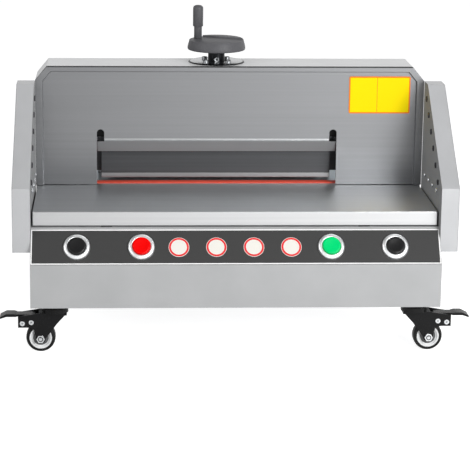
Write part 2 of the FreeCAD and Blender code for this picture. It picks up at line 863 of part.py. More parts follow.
def make_wings():
    covers, windows, screws, boards = [], [], [], []
    for side in sides:
        def out(near, far):
            return beside(side, near, far)
        pan = prism(f"{side}_wing_outside", "yz", wing_outline("0"), *out("half_body", "wing_pan"))
        hollow = prism(f"{side}_wing_inside", "yz", wing_outline("wing_sheet"),
                       *out("half_body + wing_sheet", "wing_pan + over"))
        holes = []
        for i in range(sizes["window_count"]):
            y, z = along_wing(f"{i} * window_pitch")
            holes.append(rod(f"{side}_window_hole_{i + 1}", "window_radius + running_fit",
                             out("half_body - over", "half_body + wing_sheet + over"), y, z))
            windows.append(rod(f"{side}_window_{i + 1}", "window_radius",
                               out("half_body - window_proud", "half_body + wing_sheet"), y, z))
        for i in range(sizes["wing_screw_count"]):
            y, z = f"wing_screw_front + {i} * wing_screw_pitch", "ledge_height + wing_screw_rise"
            holes.append(rod(f"{side}_screw_hole_{i + 1}", "wing_screw_shank + running_fit",
                             out("half_body - over", "half_body + wing_sheet + over"), y, z))
            head = rod(f"{side}_screw_head_{i + 1}", "wing_screw_radius",
                       out("half_body - wing_screw_head", "half_body"), y, z)
            shank = rod(f"{side}_screw_shank_{i + 1}", "wing_screw_shank",
                        out("half_body - wing_screw_head", "half_body + wing_screw_length"), y, z)
            screws.append(join(f"{side}_screw_{i + 1}", head, shank))
        node(f"{side}_wing", cut(f"{side}_wing_pan", pan, hollow, *holes))
        covers.append(prism(f"{side}_cover_sheet", "yz", wing_outline("0"), *out("wing_pan", "wing_outside")))
        row = "(window_count - 1) * window_pitch + board_end"
        boards.append(prism(f"{side}_board", "yz", [
            along_wing("-board_end", "-board_half"),
            along_wing("-board_end", "board_half"),
            along_wing(row, "board_half"),
            along_wing(row, "-board_half"),
        ], *out("half_body + wing_sheet", "half_body + wing_sheet + board_thick")))
    node("wing_covers", *covers)
    node("wing_windows", *windows)
    node("wing_screws", *screws)
    node("light_curtains", *boards)


def on_slant(distance, out="0"):
    """A place up the slanted panel from its lower fold, or out from its face."""
    return (f"(({distance}) * panel_run - ({out}) * panel_rise) / panel_slant",
            f"fold_height + (({distance}) * panel_rise + ({out}) * panel_run) / panel_slant")


def make_panel():
    strip = prism("overlay_strip", "yz", [
        on_slant("overlay_low"),
        on_slant("overlay_low", "overlay_sheet"),
        on_slant("panel_slant - overlay_high", "overlay_sheet"),
        on_slant("panel_slant - overlay_high"),
    ], "-half_body + overlay_side", "half_body - overlay_side")
    hole = rod("overlay_hole", "barrel_radius + panel_hole_fit", "0", "0", ("-over", "overlay_sheet + over"))
    holes = [on_panel(f"{name}_overlay_hole", [hole], x) for name, x in button_places.items()]
    node("control_overlay", cut("overlay", strip, *holes))

    bezel = cut(
        "bezel",
        join("bezel_blank",
             rod("bezel_ring", "bezel_radius", "0", "0", ("overlay_sheet", "bezel_top")),
             rod("bezel_barrel", "barrel_radius", "0", "0", ("-barrel_depth", "overlay_sheet")),
             rod("bezel_nut", "nut_radius", "0", "0", ("-body_sheet - nut_height", "-body_sheet")),
             box("switch_block", about("0", "block_width / 2"), about("0", "block_width / 2"),
                 ("-barrel_depth - block_height", "-barrel_depth"))),
        rod("bezel_recess", "cap_radius + cap_fit", "0", "0",
            ("overlay_sheet + bezel_floor", "bezel_top + over")),
        rod("bezel_bore", "stem_radius + slide_fit", "0", "0",
            ("-barrel_depth + barrel_end", "bezel_top + over")),
    )
    node("button_bezels", *[on_panel(f"{name}_bezel", [bezel], x) for name, x in button_places.items()])

    button = join("button",
                  rod("button_cap", "cap_radius", "0", "0", ("cap_under", "cap_top")),
                  rod("button_stem", "stem_radius", "0", "0", ("-stem_depth", "cap_under")))
    for name, x in button_places.items():
        node(name, on_panel(f"{name}_piece", [button], x))

    sticker = rod("sticker", "sticker_radius", "0", "0", ("overlay_sheet", "overlay_sheet + sticker_sheet"))
    across = "({} - (sticker_count - 1) / 2) * sticker_pitch - sticker_shift"
    node("panel_stickers", *[on_panel(f"sticker_{i + 1}", [sticker], across.format(i))
                             for i in range(sizes["sticker_count"])])


def make_clamp():
    under = ("clamp_foot_bottom + foot_height", "clamp_top")
    beam = box("clamp_bar", about("work", "clamp_length / 2"), ("clamp_front", "clamp_back"), under)
    ears = box("clamp_ears", about("work", "carrier_half"), ("ear_front", "clamp_back"), under)
    socket = rod("clamp_socket", "spindle_radius + running_fit", "work", "spindle_depth",
                 ("spindle_bottom - slide_fit", "clamp_top + over"))
    node("clamp_beam", cut("clamp", join("clamp_blank", beam, ears), socket))
    node("clamp_foot", box("foot_bar", about("work", "clamp_length / 2"), ("clamp_front", "clamp_back"),
                           ("clamp_foot_bottom", "clamp_foot_bottom + foot_height")))

    spindle = rod("spindle", "spindle_radius", "work", "spindle_depth", ("spindle_bottom", "wheel_bottom"))
    hub = rod("wheel_hub", "hub_radius", "work", "spindle_depth", ("hub_bottom", "wheel_bottom"))
    screw_place = ("spindle_depth - hub_radius - set_screw_proud",
                   "spindle_depth - hub_radius - set_screw_proud + set_screw_length")
    screw = rod("set_screw", "set_screw", "work", screw_place, "hub_bottom + set_screw_rise")
    node("clamp_spindle", cut("spindle_and_hub", join("spindle_blank", spindle, hub), screw), screw)

    rim = turned("wheel_blank", [
        ("0", "0"),
        ("wheel_radius", "0"),
        ("wheel_radius", "wheel_band"),
        ("wheel_top_radius", "wheel_height - wheel_crown_fall"),
        ("wheel_top_radius - wheel_crown", "wheel_height"),
        ("0", "wheel_height"),
    ], "work", "spindle_depth", "wheel_bottom")
    step = prism("wheel_step", "xy", [
        ("work - wheel_radius", "spindle_depth - wheel_radius"),
        ("work + wheel_radius", "spindle_depth - wheel_radius"),
        ("work + wheel_radius", "spindle_depth + step_right_back"),
        ("work + step_right", "spindle_depth + step_right_back"),
        ("work - step_left", "spindle_depth + step_left_back"),
        ("work - step_left", "spindle_depth + wheel_radius"),
        ("work - wheel_radius", "spindle_depth + wheel_radius"),
    ], "wheel_top - step_drop", "wheel_top + over")
    pin = rod("grip_pin", "grip_pin", "work - grip_side", "spindle_depth + grip_back",
              ("wheel_top - step_drop", "wheel_top + grip_pin_height"))
    node("handwheel", join("wheel", cut("wheel_stepped", rim, step), pin))

    handle = turned("grip_blank", [
        ("0", "grip_gap"),
        ("grip_neck", "grip_gap"),
        ("grip_neck", "grip_neck_height"),
        ("grip_radius", "grip_neck_height + grip_shoulder"),
        ("grip_radius", "grip_height - grip_crown"),
        ("grip_radius - grip_crown", "grip_height"),
        ("0", "grip_height"),
    ], "work - grip_side", "spindle_depth + grip_back", "wheel_top - step_drop")
    bore = rod("grip_bore", "grip_pin + running_fit", "work - grip_side", "spindle_depth + grip_back",
               ("wheel_top - step_drop - over", "wheel_top + grip_pin_height + slide_fit"))
    node("wheel_grip", cut("grip", handle, bore))


def make_knife():
    carrier = box("carrier_bar", about("work", "carrier_half"), ("cut_line", "carrier_back"),
                  ("carrier_bottom", "carrier_top"))
    blade = prism("blade", "yz", [
        ("cut_line", "knife_edge"),
        ("cut_line", "knife_top"),
        ("knife_front", "knife_top"),
        ("knife_front", "knife_edge + knife_bevel"),
        ("cut_line - knife_tip", "knife_edge"),
    ], "work - knife_half", "work + knife_half")
    bolts, holes = [], []
    for i in range(sizes["bolt_count"]):
        across = f"work + ({i} - (bolt_count - 1) / 2) * bolt_pitch"
        height = "carrier_bottom + knife_lap / 2"
        holes.append(rod(f"bolt_hole_{i + 1}", "bolt_radius + running_fit", across,
                         ("knife_front - over", "carrier_back + over"), height))
        shank = rod(f"bolt_shank_{i + 1}", "bolt_radius", across, ("knife_front", "carrier_back"), height)
        head = rod(f"bolt_head_{i + 1}", "bolt_head", across,
                   ("knife_front - bolt_head_height", "knife_front"), height)
        bolts.append(join(f"knife_bolt_{i + 1}", shank, head))
    node("knife_carrier", cut("carrier", carrier, *holes))
    node("knife", cut("drilled_blade", blade, *holes))
    node("knife_bolts", *bolts)

    rods = []
    for side in sides:
        across = beside(side, "rod_inside", "rod_outside", "work")
        bar = box(f"{side}_rod_bar", across, ("rod_front", "carrier_back"), ("eye_height", "carrier_bottom"))
        eye = box(f"{side}_eye", across, ("eye_near - eye_wall", "eye_far + eye_wall"),
                  about("eye_height", "eye_half"))
        slot = box(f"{side}_eye_slot", beside(side, "rod_inside - over", "rod_outside + over", "work"),
                   ("eye_near", "eye_far"), about("eye_height", "rocker_pin + loose_fit"))
        rods.append(cut(f"{side}_pull_rod", join(f"{side}_rod_blank", bar, eye), slot))
    node("pull_rods", *rods)


def make_rocker():
    reach = "rod_outside + bearing_gap + bearing_width"
    pieces = [rod("rocker_bar", "rocker_radius", about("work", reach), "0", "0")]
    for side in sides:
        across = beside(side, "arm_inside", "arm_inside + arm_thick", "work")
        pieces += [
            rod(f"{side}_arm_hub", "rocker_hub", across, "0", "0"),
            box(f"{side}_arm", across, ("-rocker_arm", "0"), about("0", "arm_width / 2")),
            rod(f"{side}_arm_end", "arm_width / 2", across, "-rocker_arm", "0"),
            rod(f"{side}_arm_pin", "rocker_pin",
                beside(side, "arm_inside", "rod_outside + rod_slot_gap", "work"), "-rocker_arm", "0"),
        ]
    parked = placed("rocker_parked", [join("rocker", *pieces)], y="rocker_depth", z="rocker_height",
                    axis=(1, 0, 0), turn="-rocker_park")
    node("rocker_shaft", parked)

    blocks = []
    for side in sides:
        block = box(f"{side}_bearing",
                    beside(side, "bearing_inside", "bearing_inside + bearing_width", "work"),
                    about("rocker_depth", "bearing_reach"), ("base_top", "rocker_height + bearing_wall"))
        bore = rod(f"{side}_bearing_bore", "rocker_radius + running_fit",
                   beside(side, "bearing_inside - over", "bearing_inside + bearing_width + over", "work"),
                   "rocker_depth", "rocker_height")
        blocks.append(cut(f"{side}_bearing_block", block, bore))
    node("rocker_bearings", *blocks)

    gearbox = box("gearbox_case", ("gearbox_left", "gearbox_right"),
                  ("rocker_depth - gearbox_front", "motor_front"), ("base_top", "base_top + gearbox_height"))
    passage = rod("gearbox_bore", "rocker_radius + slide_fit",
                  ("gearbox_left - over", "gearbox_right + over"), "rocker_depth", "rocker_height")
    node("drive_gearbox", cut("gearbox", gearbox, passage))

    node("drive_motor", join(
        "motor",
        rod("motor_barrel", "motor_radius", "motor_middle", ("motor_front", "motor_front + motor_length"),
            "motor_level"),
        rod("motor_end", "motor_cap_radius", "motor_middle",
            ("motor_front + motor_length", "motor_front + motor_length + motor_cap"), "motor_level"),
        box("motor_base", about("motor_middle", "motor_foot / 2"),
            about("motor_front + motor_length / 2", "motor_foot / 2"), ("base_top", "motor_level"))))

    node("control_box", join(
        "control_case",
        box("control_tray", ("-control_left", "control_right"), ("control_front", "control_back"),
            ("base_top", "base_top + control_height")),
        box("control_lid", ("-control_left - control_lid", "control_right + control_lid"),
            ("control_front - control_lid", "control_back + control_lid"),
            ("base_top + control_height", "base_top + control_height + control_lid"))))

    socket_end = "body_depth - inlet_depth + inlet_wall"
    housing = box("inlet_housing", about("inlet_middle", "inlet_half"),
                  ("body_depth - inlet_depth", "body_depth"), ("inlet_low", "inlet_low + inlet_tall"))
    flange = box("inlet_plate", about("inlet_middle", "inlet_width / 2"),
                 ("body_depth", "body_depth + inlet_flange"),
                 ("inlet_low - inlet_lap", "inlet_low + inlet_tall + inlet_lap"))
    socket = box("inlet_socket", about("inlet_middle", "inlet_half - inlet_side"),
                 (socket_end, "body_depth + inlet_flange + over"),
                 ("inlet_low + inlet_lip", "inlet_low + inlet_tall - inlet_lip"))
    pins = [
        box(f"inlet_pin_{i + 1}",
            about(f"inlet_middle + ({i} - (inlet_pin_count - 1) / 2) * inlet_pin_pitch", "inlet_pin / 2"),
            (socket_end, f"{socket_end} + inlet_pin_length"),
            ("inlet_low + inlet_tall / 2", "inlet_low + inlet_tall / 2 + inlet_pin_height"))
        for i in range(sizes["inlet_pin_count"])
    ]
    shell = cut("inlet_shell", join("inlet_blank", housing, flange), socket)
    node("power_inlet", join("inlet", shell, *pins))


def make_gauge():
    plate = box("gauge_plate", about("work", "gauge_half"), ("gauge_front", "gauge_front + gauge_thick"),
                ("gauge_under", "gauge_under + gauge_height"))
    web = box("gauge_web", about("work", "gauge_slot / 2 - gauge_float"),
              ("gauge_front", "gauge_front + gauge_thick"), ("screw_level", "gauge_under"))
    nut = box("gauge_nut", about("work", "nut_width / 2"),
              about("gauge_front + gauge_thick / 2", "nut_depth / 2"), about("screw_level", "nut_tall / 2"))
    bore = rod("nut_bore", "screw_radius + slide_fit", "work",
               ("gauge_front - nut_depth", "gauge_front + gauge_thick + nut_depth"), "screw_level")
    node("back_gauge", cut("gauge", join("gauge_blank", plate, web, nut), bore))

    knob_front = "body_depth + bush_flange_sheet + knob_gap"
    node("gauge_screw", rod("lead_screw", "screw_radius", "work",
                            ("screw_front", "knob_end - knob_cover"), "screw_level"))
    knob = join("knob_blank",
                rod("knob_disc", "knob_radius", "work", ("knob_end - knob_width", "knob_end"), "screw_level"),
                rod("knob_hub", "knob_neck", "work", (knob_front, "knob_end - knob_width"), "screw_level"))
    bore = rod("knob_bore", "screw_radius + running_fit", "work",
               (f"{knob_front} - over", "knob_end - knob_cover"), "screw_level")
    node("gauge_knob", cut("knob", knob, bore))

    block = box("screw_block", about("work", "nut_width / 2"),
                ("screw_bearing_front", "screw_bearing_front + screw_bearing_depth"),
                ("screw_level - nut_tall / 2", "table_under"))
    bush = join("bush_blank",
                rod("bush_barrel", "bush_radius", "work", ("body_depth - bush_depth", "body_depth"),
                    "screw_level"),
                rod("bush_collar", "bush_flange", "work", ("body_depth", "body_depth + bush_flange_sheet"),
                    "screw_level"))
    screw_bore = rod("screw_bore", "screw_radius + running_fit", "work",
                     ("screw_bearing_front - over", "body_depth + bush_flange_sheet + over"), "screw_level")
    node("screw_bearings", cut("front_bearing", block, screw_bore), cut("rear_bush", bush, screw_bore))

    node("side_lays", *[
        box(f"{side}_lay", beside(side, "lay_gap", "lay_gap + lay_thick", "work"),
            ("lay_front", "lay_front + lay_length"), ("table_top", "table_top + lay_height"))
        for side in sides
    ])


def make_hood():
    outside = prism("hood_outside", "yz", [
        ("hood_front", "hood_bottom"),
        ("hood_front", "hood_crest"),
        ("hood_knee", "hood_knee_level"),
        ("hood_knee + hood_tail", "hood_bottom"),
    ], "work - hood_half", "work + hood_half")
    inside = prism("hood_inside", "yz", [
        ("hood_front - over", "hood_bottom - over"),
        ("hood_front - over", "hood_crest + hood_pitch * over - hood_down"),
        ("hood_knee + hood_shift", "hood_knee_level - hood_pitch * hood_shift - hood_down"),
        ("hood_knee + hood_tail - hood_in + hood_lean * over", "hood_bottom - over"),
    ], "work - hood_half + hood_sheet", "work + hood_half - hood_sheet")
    knuckles, notches, fixed = [], [], []
    for side in sides:
        middle = "work - hinge_spread" if side == "left" else "work + hinge_spread"
        notches.append(box(f"{side}_notch", about(middle, "hinge_middle + slide_fit"),
                           ("hood_front - over", "hinge_depth + knuckle_radius + over"),
                           ("hood_crest - hinge_notch", "hinge_level")))
        leaf = box(f"{side}_leaf", about(middle, "hinge_half"), ("gantry_back", "gantry_back + leaf_sheet"),
                   ("hinge_level + knuckle_radius - leaf_height", "hinge_level + knuckle_radius"))
        bridge = box(f"{side}_bridge", about(middle, "hinge_middle"), ("gantry_back", "hinge_depth"),
                     about("hinge_level", "knuckle_radius"))
        barrel = rod(f"{side}_barrel", "knuckle_radius", about(middle, "hinge_middle"),
                     "hinge_depth", "hinge_level")
        pin = rod(f"{side}_hinge_pin", "hinge_pin", about(middle, "hinge_half"), "hinge_depth", "hinge_level")
        fixed.append(join(f"{side}_fixed_hinge", leaf, bridge, barrel, pin))
        for end, low, high in (("inner", "-hinge_half", "-hinge_middle - slide_fit"),
                               ("outer", "hinge_middle + slide_fit", "hinge_half")):
            span = (f"{middle} + ({low})", f"{middle} + ({high})")
            knuckles.append(rod(f"{side}_{end}_knuckle", "knuckle_radius", span,
                                "hinge_depth", "hinge_level"))
    pin_bore = rod("pin_bore", "hinge_pin + running_fit", about("work", "hinge_spread + hinge_half + over"),
                   "hinge_depth", "hinge_level")
    node("rear_cover", cut("drilled_hood",
                           join("hood", cut("hood_sheet", outside, inside, *notches), *knuckles), pin_bore))
    node("cover_hinges", *fixed)


def make_casters():
    plate = box("caster_flat", about("0", "caster_plate / 2"), about("0", "caster_plate / 2"),
                ("race_top", "caster_height"))
    race = rod("fixed_race", "race_radius", "0", "0", ("race_bottom", "race_top"))
    race_bore = rod("race_bore", "race_bore + running_fit", "0", "0", ("race_bottom - over", "race_top"))
    top = cut("caster_top", join("caster_blank", plate, race), race_bore)

    def fork(kind, braked):
        foot = [
            ("throat_reach", "throat_level"),
            ("trail + leg_foot", "wheel_size + leg_neck"),
            ("trail + leg_foot", "wheel_size"),
            ("trail - leg_foot", "wheel_size"),
            ("-leg_sheet", "leg_knee + leg_sheet"),
            ("-fork_tail", "crown_top"),
        ]
        head = [
            ("bracket_reach", "bracket_top"),
            ("bracket_reach", "bracket_bottom"),
            ("bracket_root", "bracket_bottom"),
        ] if braked else [("throat_reach", "crown_top")]
        blank = [
            box(f"{kind}_crown", ("-fork_tail", "crown_front"), about("0", "leg_outside"),
                ("crown_under", "crown_top")),
            rod(f"{kind}_swivel", "swivel_radius", "0", "0", ("crown_top", "race_bottom - race_gap")),
            rod(f"{kind}_kingpin", "race_bore", "0", "0", ("crown_under", "race_top - slide_fit")),
        ]
        holes = [("axle", "axle_radius", "trail", "wheel_size")]
        if braked:
            holes.append(("pivot", "rivet_radius", "pivot_reach", "pivot_level"))
            holes.append(("stop", "rivet_radius", "stop_reach", "stop_level"))
        legs = {"near": ("-leg_outside", "-leg_inside"), "far": ("leg_inside", "leg_outside")}
        for name, (low, high) in legs.items():
            corners = ([("crown_front", "crown_top")] if braked else []) + head + foot
            leg = prism(f"{kind}_{name}_leg", "xz", corners, low, high)
            boss = rod(f"{kind}_{name}_boss", "leg_foot", "trail", (low, high), "wheel_size")
            blank += [leg, boss]
        cutters = [rod(f"{kind}_{name}_hole", f"{radius} + running_fit", across,
                       ("-leg_outside - over", "leg_outside + over"), level)
                   for name, radius, across, level in holes]
        pieces = [cut(f"{kind}_fork", join(f"{kind}_fork_blank", *blank), *cutters)]
        end = "leg_outside + nut_thick"
        bolt = [rod(f"{kind}_axle", "axle_radius", "trail", about("0", end), "wheel_size")]
        for name, place in (("near", "leg_outside + nut_thick"), ("far", "-leg_outside")):
            nut = doc.addObject("Part::Prism", f"{kind}_{name}_nut")
            nut.Polygon = 6
            nut.Placement = FreeCAD.Placement(FreeCAD.Vector(), FreeCAD.Rotation(FreeCAD.Vector(1, 0, 0), 90))
            bind(nut, "Circumradius", "nut_across / 2")
            bind(nut, "Height", "nut_thick")
            bind(nut, "Placement.Base.x", "trail")
            bind(nut, "Placement.Base.y", place)
            bind(nut, "Placement.Base.z", "wheel_size")
            bolt.append(nut)
        pieces.append(join(f"{kind}_axle_bolt", *bolt))
        for name, radius, across, level in holes[1:]:
            rivet = [rod(f"{kind}_{name}_shank", radius, across,
                         about("0", "leg_outside + rivet_head_height"), level)]
            for near, low in (("near", "-leg_outside - rivet_head_height"), ("far", "leg_outside")):
                rivet.append(rod(f"{kind}_{name}_{near}_head", "rivet_head", across,
                                 (low, f"{low} + rivet_head_height"), level))
            pieces.append(join(f"{kind}_{name}_rivet", *rivet))
        return pieces

    forks = {"front": fork("front", True), "rear": fork("rear", False)}

    width = about("0", "wheel_half")
    tyre = cut("tyre", rod("tyre_blank", "wheel_size", "trail", width, "wheel_size"),
               rod("tyre_bore", "rim_radius", "trail", about("0", "wheel_half + over"), "wheel_size"))
    dishes = [
        rod(f"rim_dish_{name}", "rim_radius - rim_recess", "trail", span, "wheel_size")
        for name, span in (("near", ("-wheel_half - over", "-wheel_half + rim_recess")),
                           ("far", ("wheel_half - rim_recess", "wheel_half + over")))
    ]
    hub = rod("rim_hub", "rim_dish", "trail", width, "wheel_size")
    rim_bore = rod("rim_bore", "axle_radius + running_fit", "trail", about("0", "wheel_half + over"),
                   "wheel_size")
    rim_bar = rod("rim_bar", "rim_radius", "trail", width, "wheel_size")
    rim = cut("rim", join("rim_blank", cut("rim_disc", rim_bar, *dishes), hub), rim_bore)

    pedal = cut(
        "pedal",
        join("pedal_blank",
             box("pedal_arm", ("pedal_back", "pedal_pad"), about("0", "pedal_half"),
                 ("pedal_level", "pedal_level + pedal_sheet")),
             prism("pedal_pad", "xz", [
                 ("pedal_pad", "pedal_level"),
                 ("pedal_reach - pedal_nose", "pedal_level"),
                 ("pedal_reach", "pedal_level - pedal_droop"),
                 ("pedal_reach", "pedal_level - pedal_droop + pedal_tip"),
                 ("pedal_reach - pedal_nose", "pedal_level + pedal_pad_height"),
                 ("pedal_pad + pedal_pad_height", "pedal_level + pedal_pad_height"),
                 ("pedal_pad", "pedal_level + pedal_sheet"),
             ], "-pedal_pad_half", "pedal_pad_half"),
             box("pedal_web", about("pivot_reach", "pedal_barrel / 2"), about("0", "pedal_half"),
                 ("pivot_level", "pedal_level + pedal_sheet")),
             rod("pedal_barrel", "pedal_barrel", "pivot_reach", about("0", "pedal_half"), "pivot_level")),
        rod("pedal_bore", "rivet_radius + running_fit", "pivot_reach", about("0", "pedal_half + over"),
            "pivot_level"))

    tops = []
    for row, depth in (("front", "caster_inset"), ("rear", "body_depth - caster_inset")):
        for side in sides:
            x = "-caster_side" if side == "left" else "caster_side"
            turn = "180" if side == "left" else "0"
            spot = {"x": x, "y": f"front + {depth}", "turn": turn}
            tops.append(placed(f"{row}_{side}_top", [top], x=x, y=depth))
            node(f"{row}_{side}_fork", *forks[row], **spot)
            node(f"{row}_{side}_wheel", tyre, rim, **spot)
            if row == "front":
                node(f"{side}_brake_pedal", pedal, **spot)
    node("caster_plates", *tops)


make_body()
make_table()
make_gantry()
make_wings()
make_panel()
make_clamp()
make_knife()
make_rocker()
make_gauge()
make_hood()
make_casters()
doc.recompute()

faults = [thing.Name for thing in doc.Objects if {"Invalid", "Error"} & set(thing.State)]
faults += [thing.Label for thing in nodes if thing.Shape.isNull() or not thing.Shape.isValid()]
if faults:
    raise SystemExit("these did not build: " + ", ".join(faults))

os.makedirs("parts", exist_ok=True)
for thing in nodes:
    thing.Shape.exportStep(f"parts/{thing.Label}.step")
print(len(nodes), "sub-parts,", sum(len(thing.Shape.Solids) for thing in nodes), "solids")
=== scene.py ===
# Looks of an electric paper cutter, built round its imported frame: folded and
# powder-coated sheet steel, a ground steel table, a satin front plate, a clamp with
# its handwheel, a row of push buttons and four casters. Pieces are sized in
# millimetres and turn to the frame's metres only where a vertex is made.
import json
from math import atan2, cos, hypot, pi, radians, sin

import bmesh
import bpy
from mathutils import Matrix, Vector

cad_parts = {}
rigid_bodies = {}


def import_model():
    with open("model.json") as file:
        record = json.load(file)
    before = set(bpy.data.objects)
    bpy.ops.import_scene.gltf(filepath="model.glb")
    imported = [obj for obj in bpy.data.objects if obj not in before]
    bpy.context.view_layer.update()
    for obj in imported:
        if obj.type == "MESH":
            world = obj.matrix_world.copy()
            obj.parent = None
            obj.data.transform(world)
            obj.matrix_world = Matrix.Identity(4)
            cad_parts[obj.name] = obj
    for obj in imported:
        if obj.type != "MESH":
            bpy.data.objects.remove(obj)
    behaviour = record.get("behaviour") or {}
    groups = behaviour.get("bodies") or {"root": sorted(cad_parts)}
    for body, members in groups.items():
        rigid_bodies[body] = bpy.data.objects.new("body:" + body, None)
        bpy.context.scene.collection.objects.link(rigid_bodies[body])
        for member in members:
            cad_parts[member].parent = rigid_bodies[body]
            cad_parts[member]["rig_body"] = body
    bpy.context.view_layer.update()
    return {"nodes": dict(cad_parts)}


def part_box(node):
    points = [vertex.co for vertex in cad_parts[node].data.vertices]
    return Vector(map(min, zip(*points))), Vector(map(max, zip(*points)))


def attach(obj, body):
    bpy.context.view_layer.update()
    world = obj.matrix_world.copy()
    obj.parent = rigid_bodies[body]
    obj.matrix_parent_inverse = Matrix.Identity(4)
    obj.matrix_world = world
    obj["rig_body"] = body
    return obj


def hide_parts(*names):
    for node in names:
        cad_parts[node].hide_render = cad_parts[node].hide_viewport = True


mm = 0.001
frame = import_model()
print("frame loaded,", len(frame["nodes"]), "nodes")


def linear(hexColour):
    channels = [int(hexColour[i:i + 2], 16) / 255 for i in (1, 3, 5)]
    return [c / 12.92 if c <= 0.04045 else ((c + 0.055) / 1.055) ** 2.4 for c in channels] + [1]


def add(tree, kind, settings=None, links=None, **choices):
    # one node: values by socket, then sources by socket as (node, its output)
    node = tree.nodes.new(kind)
    for name, value in choices.items():
        setattr(node, name, value)
    for socket, value in (settings or {}).items():
        node.inputs[socket].default_value = value
    for socket, (source, output) in (links or {}).items():
        tree.links.new(source.outputs[output], node.inputs[socket])
    return node


def newFinish(name, settings):
    material = bpy.data.materials.new(name)
    material.use_nodes = True
    tree = material.node_tree
    tree.nodes.clear()
    shader = add(tree, "ShaderNodeBsdfPrincipled", settings)
    add(tree, "ShaderNodeOutputMaterial", links={"Surface": (shader, 0)})
    where = add(tree, "ShaderNodeTexCoord")
    return material, tree, shader, where


def surface(tree, shader, shades, drift, grain, gloss, relief=None):
    # one pattern drifts the colour between two near shades, the other varies the gloss
    # and, where there is a relief (its height, its strength), stands out of the surface
    ramp = add(tree, "ShaderNodeValToRGB", links={"Fac": (drift, 0)})
    for end, position, shade in zip(ramp.color_ramp.elements, (0.3, 0.7), shades):
        end.position, end.color = position, linear(shade)
    rough = add(tree, "ShaderNodeMapRange", {"To Min": gloss[0], "To Max": gloss[1]},
                {"Value": (grain, 0)})
    tree.links.new(ramp.outputs[0], shader.inputs["Base Color"])
    tree.links.new(rough.outputs[0], shader.inputs["Roughness"])
    if relief:
        bump = add(tree, "ShaderNodeBump", {"Distance": relief[0] * mm, "Strength": relief[1]},
                   {"Height": (grain, 0)})
        tree.links.new(bump.outputs[0], shader.inputs["Normal"])


def powderCoat(name, dark, light, roughness, metallic=0.0, shine=0.5):
    # baked polyester powder on sheet steel: a fine orange peel and a barely seen mottle
    material, tree, shader, where = newFinish(name, {
        "Metallic": metallic, "IOR": 1.5, "Specular IOR Level": shine})
    peel = add(tree, "ShaderNodeTexNoise", {"Scale": 1 / (1.2 * mm), "Detail": 2},
               {"Vector": (where, "Object")})  # really about 0.6 mm
    mottle = add(tree, "ShaderNodeTexNoise", {"Scale": 1 / (60 * mm), "Detail": 3},
                 {"Vector": (where, "Object")})
    surface(tree, shader, (dark, light), mottle, peel, (roughness - 0.05, roughness + 0.05),
            (0.04, 0.25))
    return material


def groundSteel(name, dark, light, roughness, along, metallic=1.0, vary=0.04):
    # belt-ground steel: fine lines one way, which blur what it reflects across them
    material, tree, shader, where = newFinish(name, {"Metallic": metallic})
    stretch = [0.008 if axis == along else 1 for axis in "XYZ"]
    grain = add(tree, "ShaderNodeMapping", {"Scale": stretch}, {"Vector": (where, "Object")})
    lines = add(tree, "ShaderNodeTexNoise", {"Scale": 1 / (0.5 * mm), "Detail": 3},
                {"Vector": (grain, 0)})  # really about 0.1 mm apart
    streaks = add(tree, "ShaderNodeTexNoise", {"Scale": 1 / (4 * mm), "Detail": 4},
                  {"Vector": (grain, 0)})
    surface(tree, shader, (dark, light), streaks, lines, (roughness - vary, roughness + vary),
            (0.01, 0.3))
    return material


def plating(name, dark, light, roughness):
    # plated or anodised metal: bright, with faint cloudy patches
    material, tree, shader, where = newFinish(name, {"Metallic": 1.0})
    cloud = add(tree, "ShaderNodeTexNoise", {"Scale": 1 / (6 * mm), "Detail": 3},
                {"Vector": (where, "Object")})
    surface(tree, shader, (dark, light), cloud, cloud, (roughness - 0.05, roughness + 0.08))
    return material


def moulded(name, dark, light, roughness, grain=0.9, depth=0.03, shine=0.5):
    # injection-moulded plastic or rubber: one colour with the mould's spark grain
    material, tree, shader, where = newFinish(name, {"IOR": 1.46, "Specular IOR Level": shine})
    spark = add(tree, "ShaderNodeTexNoise", {"Scale": 1 / (grain * mm), "Detail": 2},
                {"Vector": (where, "Object")})
    surface(tree, shader, (dark, light), spark, spark, (roughness - 0.04, roughness + 0.06),
            (depth, 0.3))
    return material


def castSkin(name, dark, light, roughness, metallic=0.0):
    # sand-cast iron under a brushed-on coat: a coarse pebbled skin
    material, tree, shader, where = newFinish(name, {"Metallic": metallic, "IOR": 1.5})
    pebble = add(tree, "ShaderNodeTexNoise", {"Scale": 1 / (2.5 * mm), "Detail": 4},
                 {"Vector": (where, "Object")})
    surface(tree, shader, (dark, light), pebble, pebble, (roughness - 0.06, roughness + 0.1),
            (0.25, 0.5))
    return material


def clearSheet(name, dark, light, roughness):
    # extruded polycarbonate, lightly smoked, with the haze of a handled guard
    material, tree, shader, where = newFinish(name, {"IOR": 1.585, "Transmission Weight": 1.0})
    haze = add(tree, "ShaderNodeTexNoise", {"Scale": 1 / (40 * mm), "Detail": 3},
               {"Vector": (where, "Object")})
    surface(tree, shader, (dark, light), haze, haze, (roughness, roughness + 0.05))
    return material


# painted sheet: even silver greys with broad, soft highlights
bodyCoat = powderCoat("silverPowderCoat", "#A4A5A6", "#ABACAD", 0.42, metallic=0.2)
coverCoat = powderCoat("coverPowderCoat", "#E0E1E2", "#E5E6E7", 0.36, metallic=0.15)
wingCoat = powderCoat("wingPowderCoat", "#B3B4B6", "#BABBBD", 0.30, metallic=0.3)
# a darker copy of the wing paint, painted shade for the wings' inner faces
wingInsidePaintedShade = powderCoat("wingPaintedShadeCoat", "#8A8B8C", "#919293", 0.6, metallic=0.1, shine=0.12)
casterCoat = powderCoat("blackCasterCoat", "#0D0D0E", "#131314", 0.26, shine=0.16)
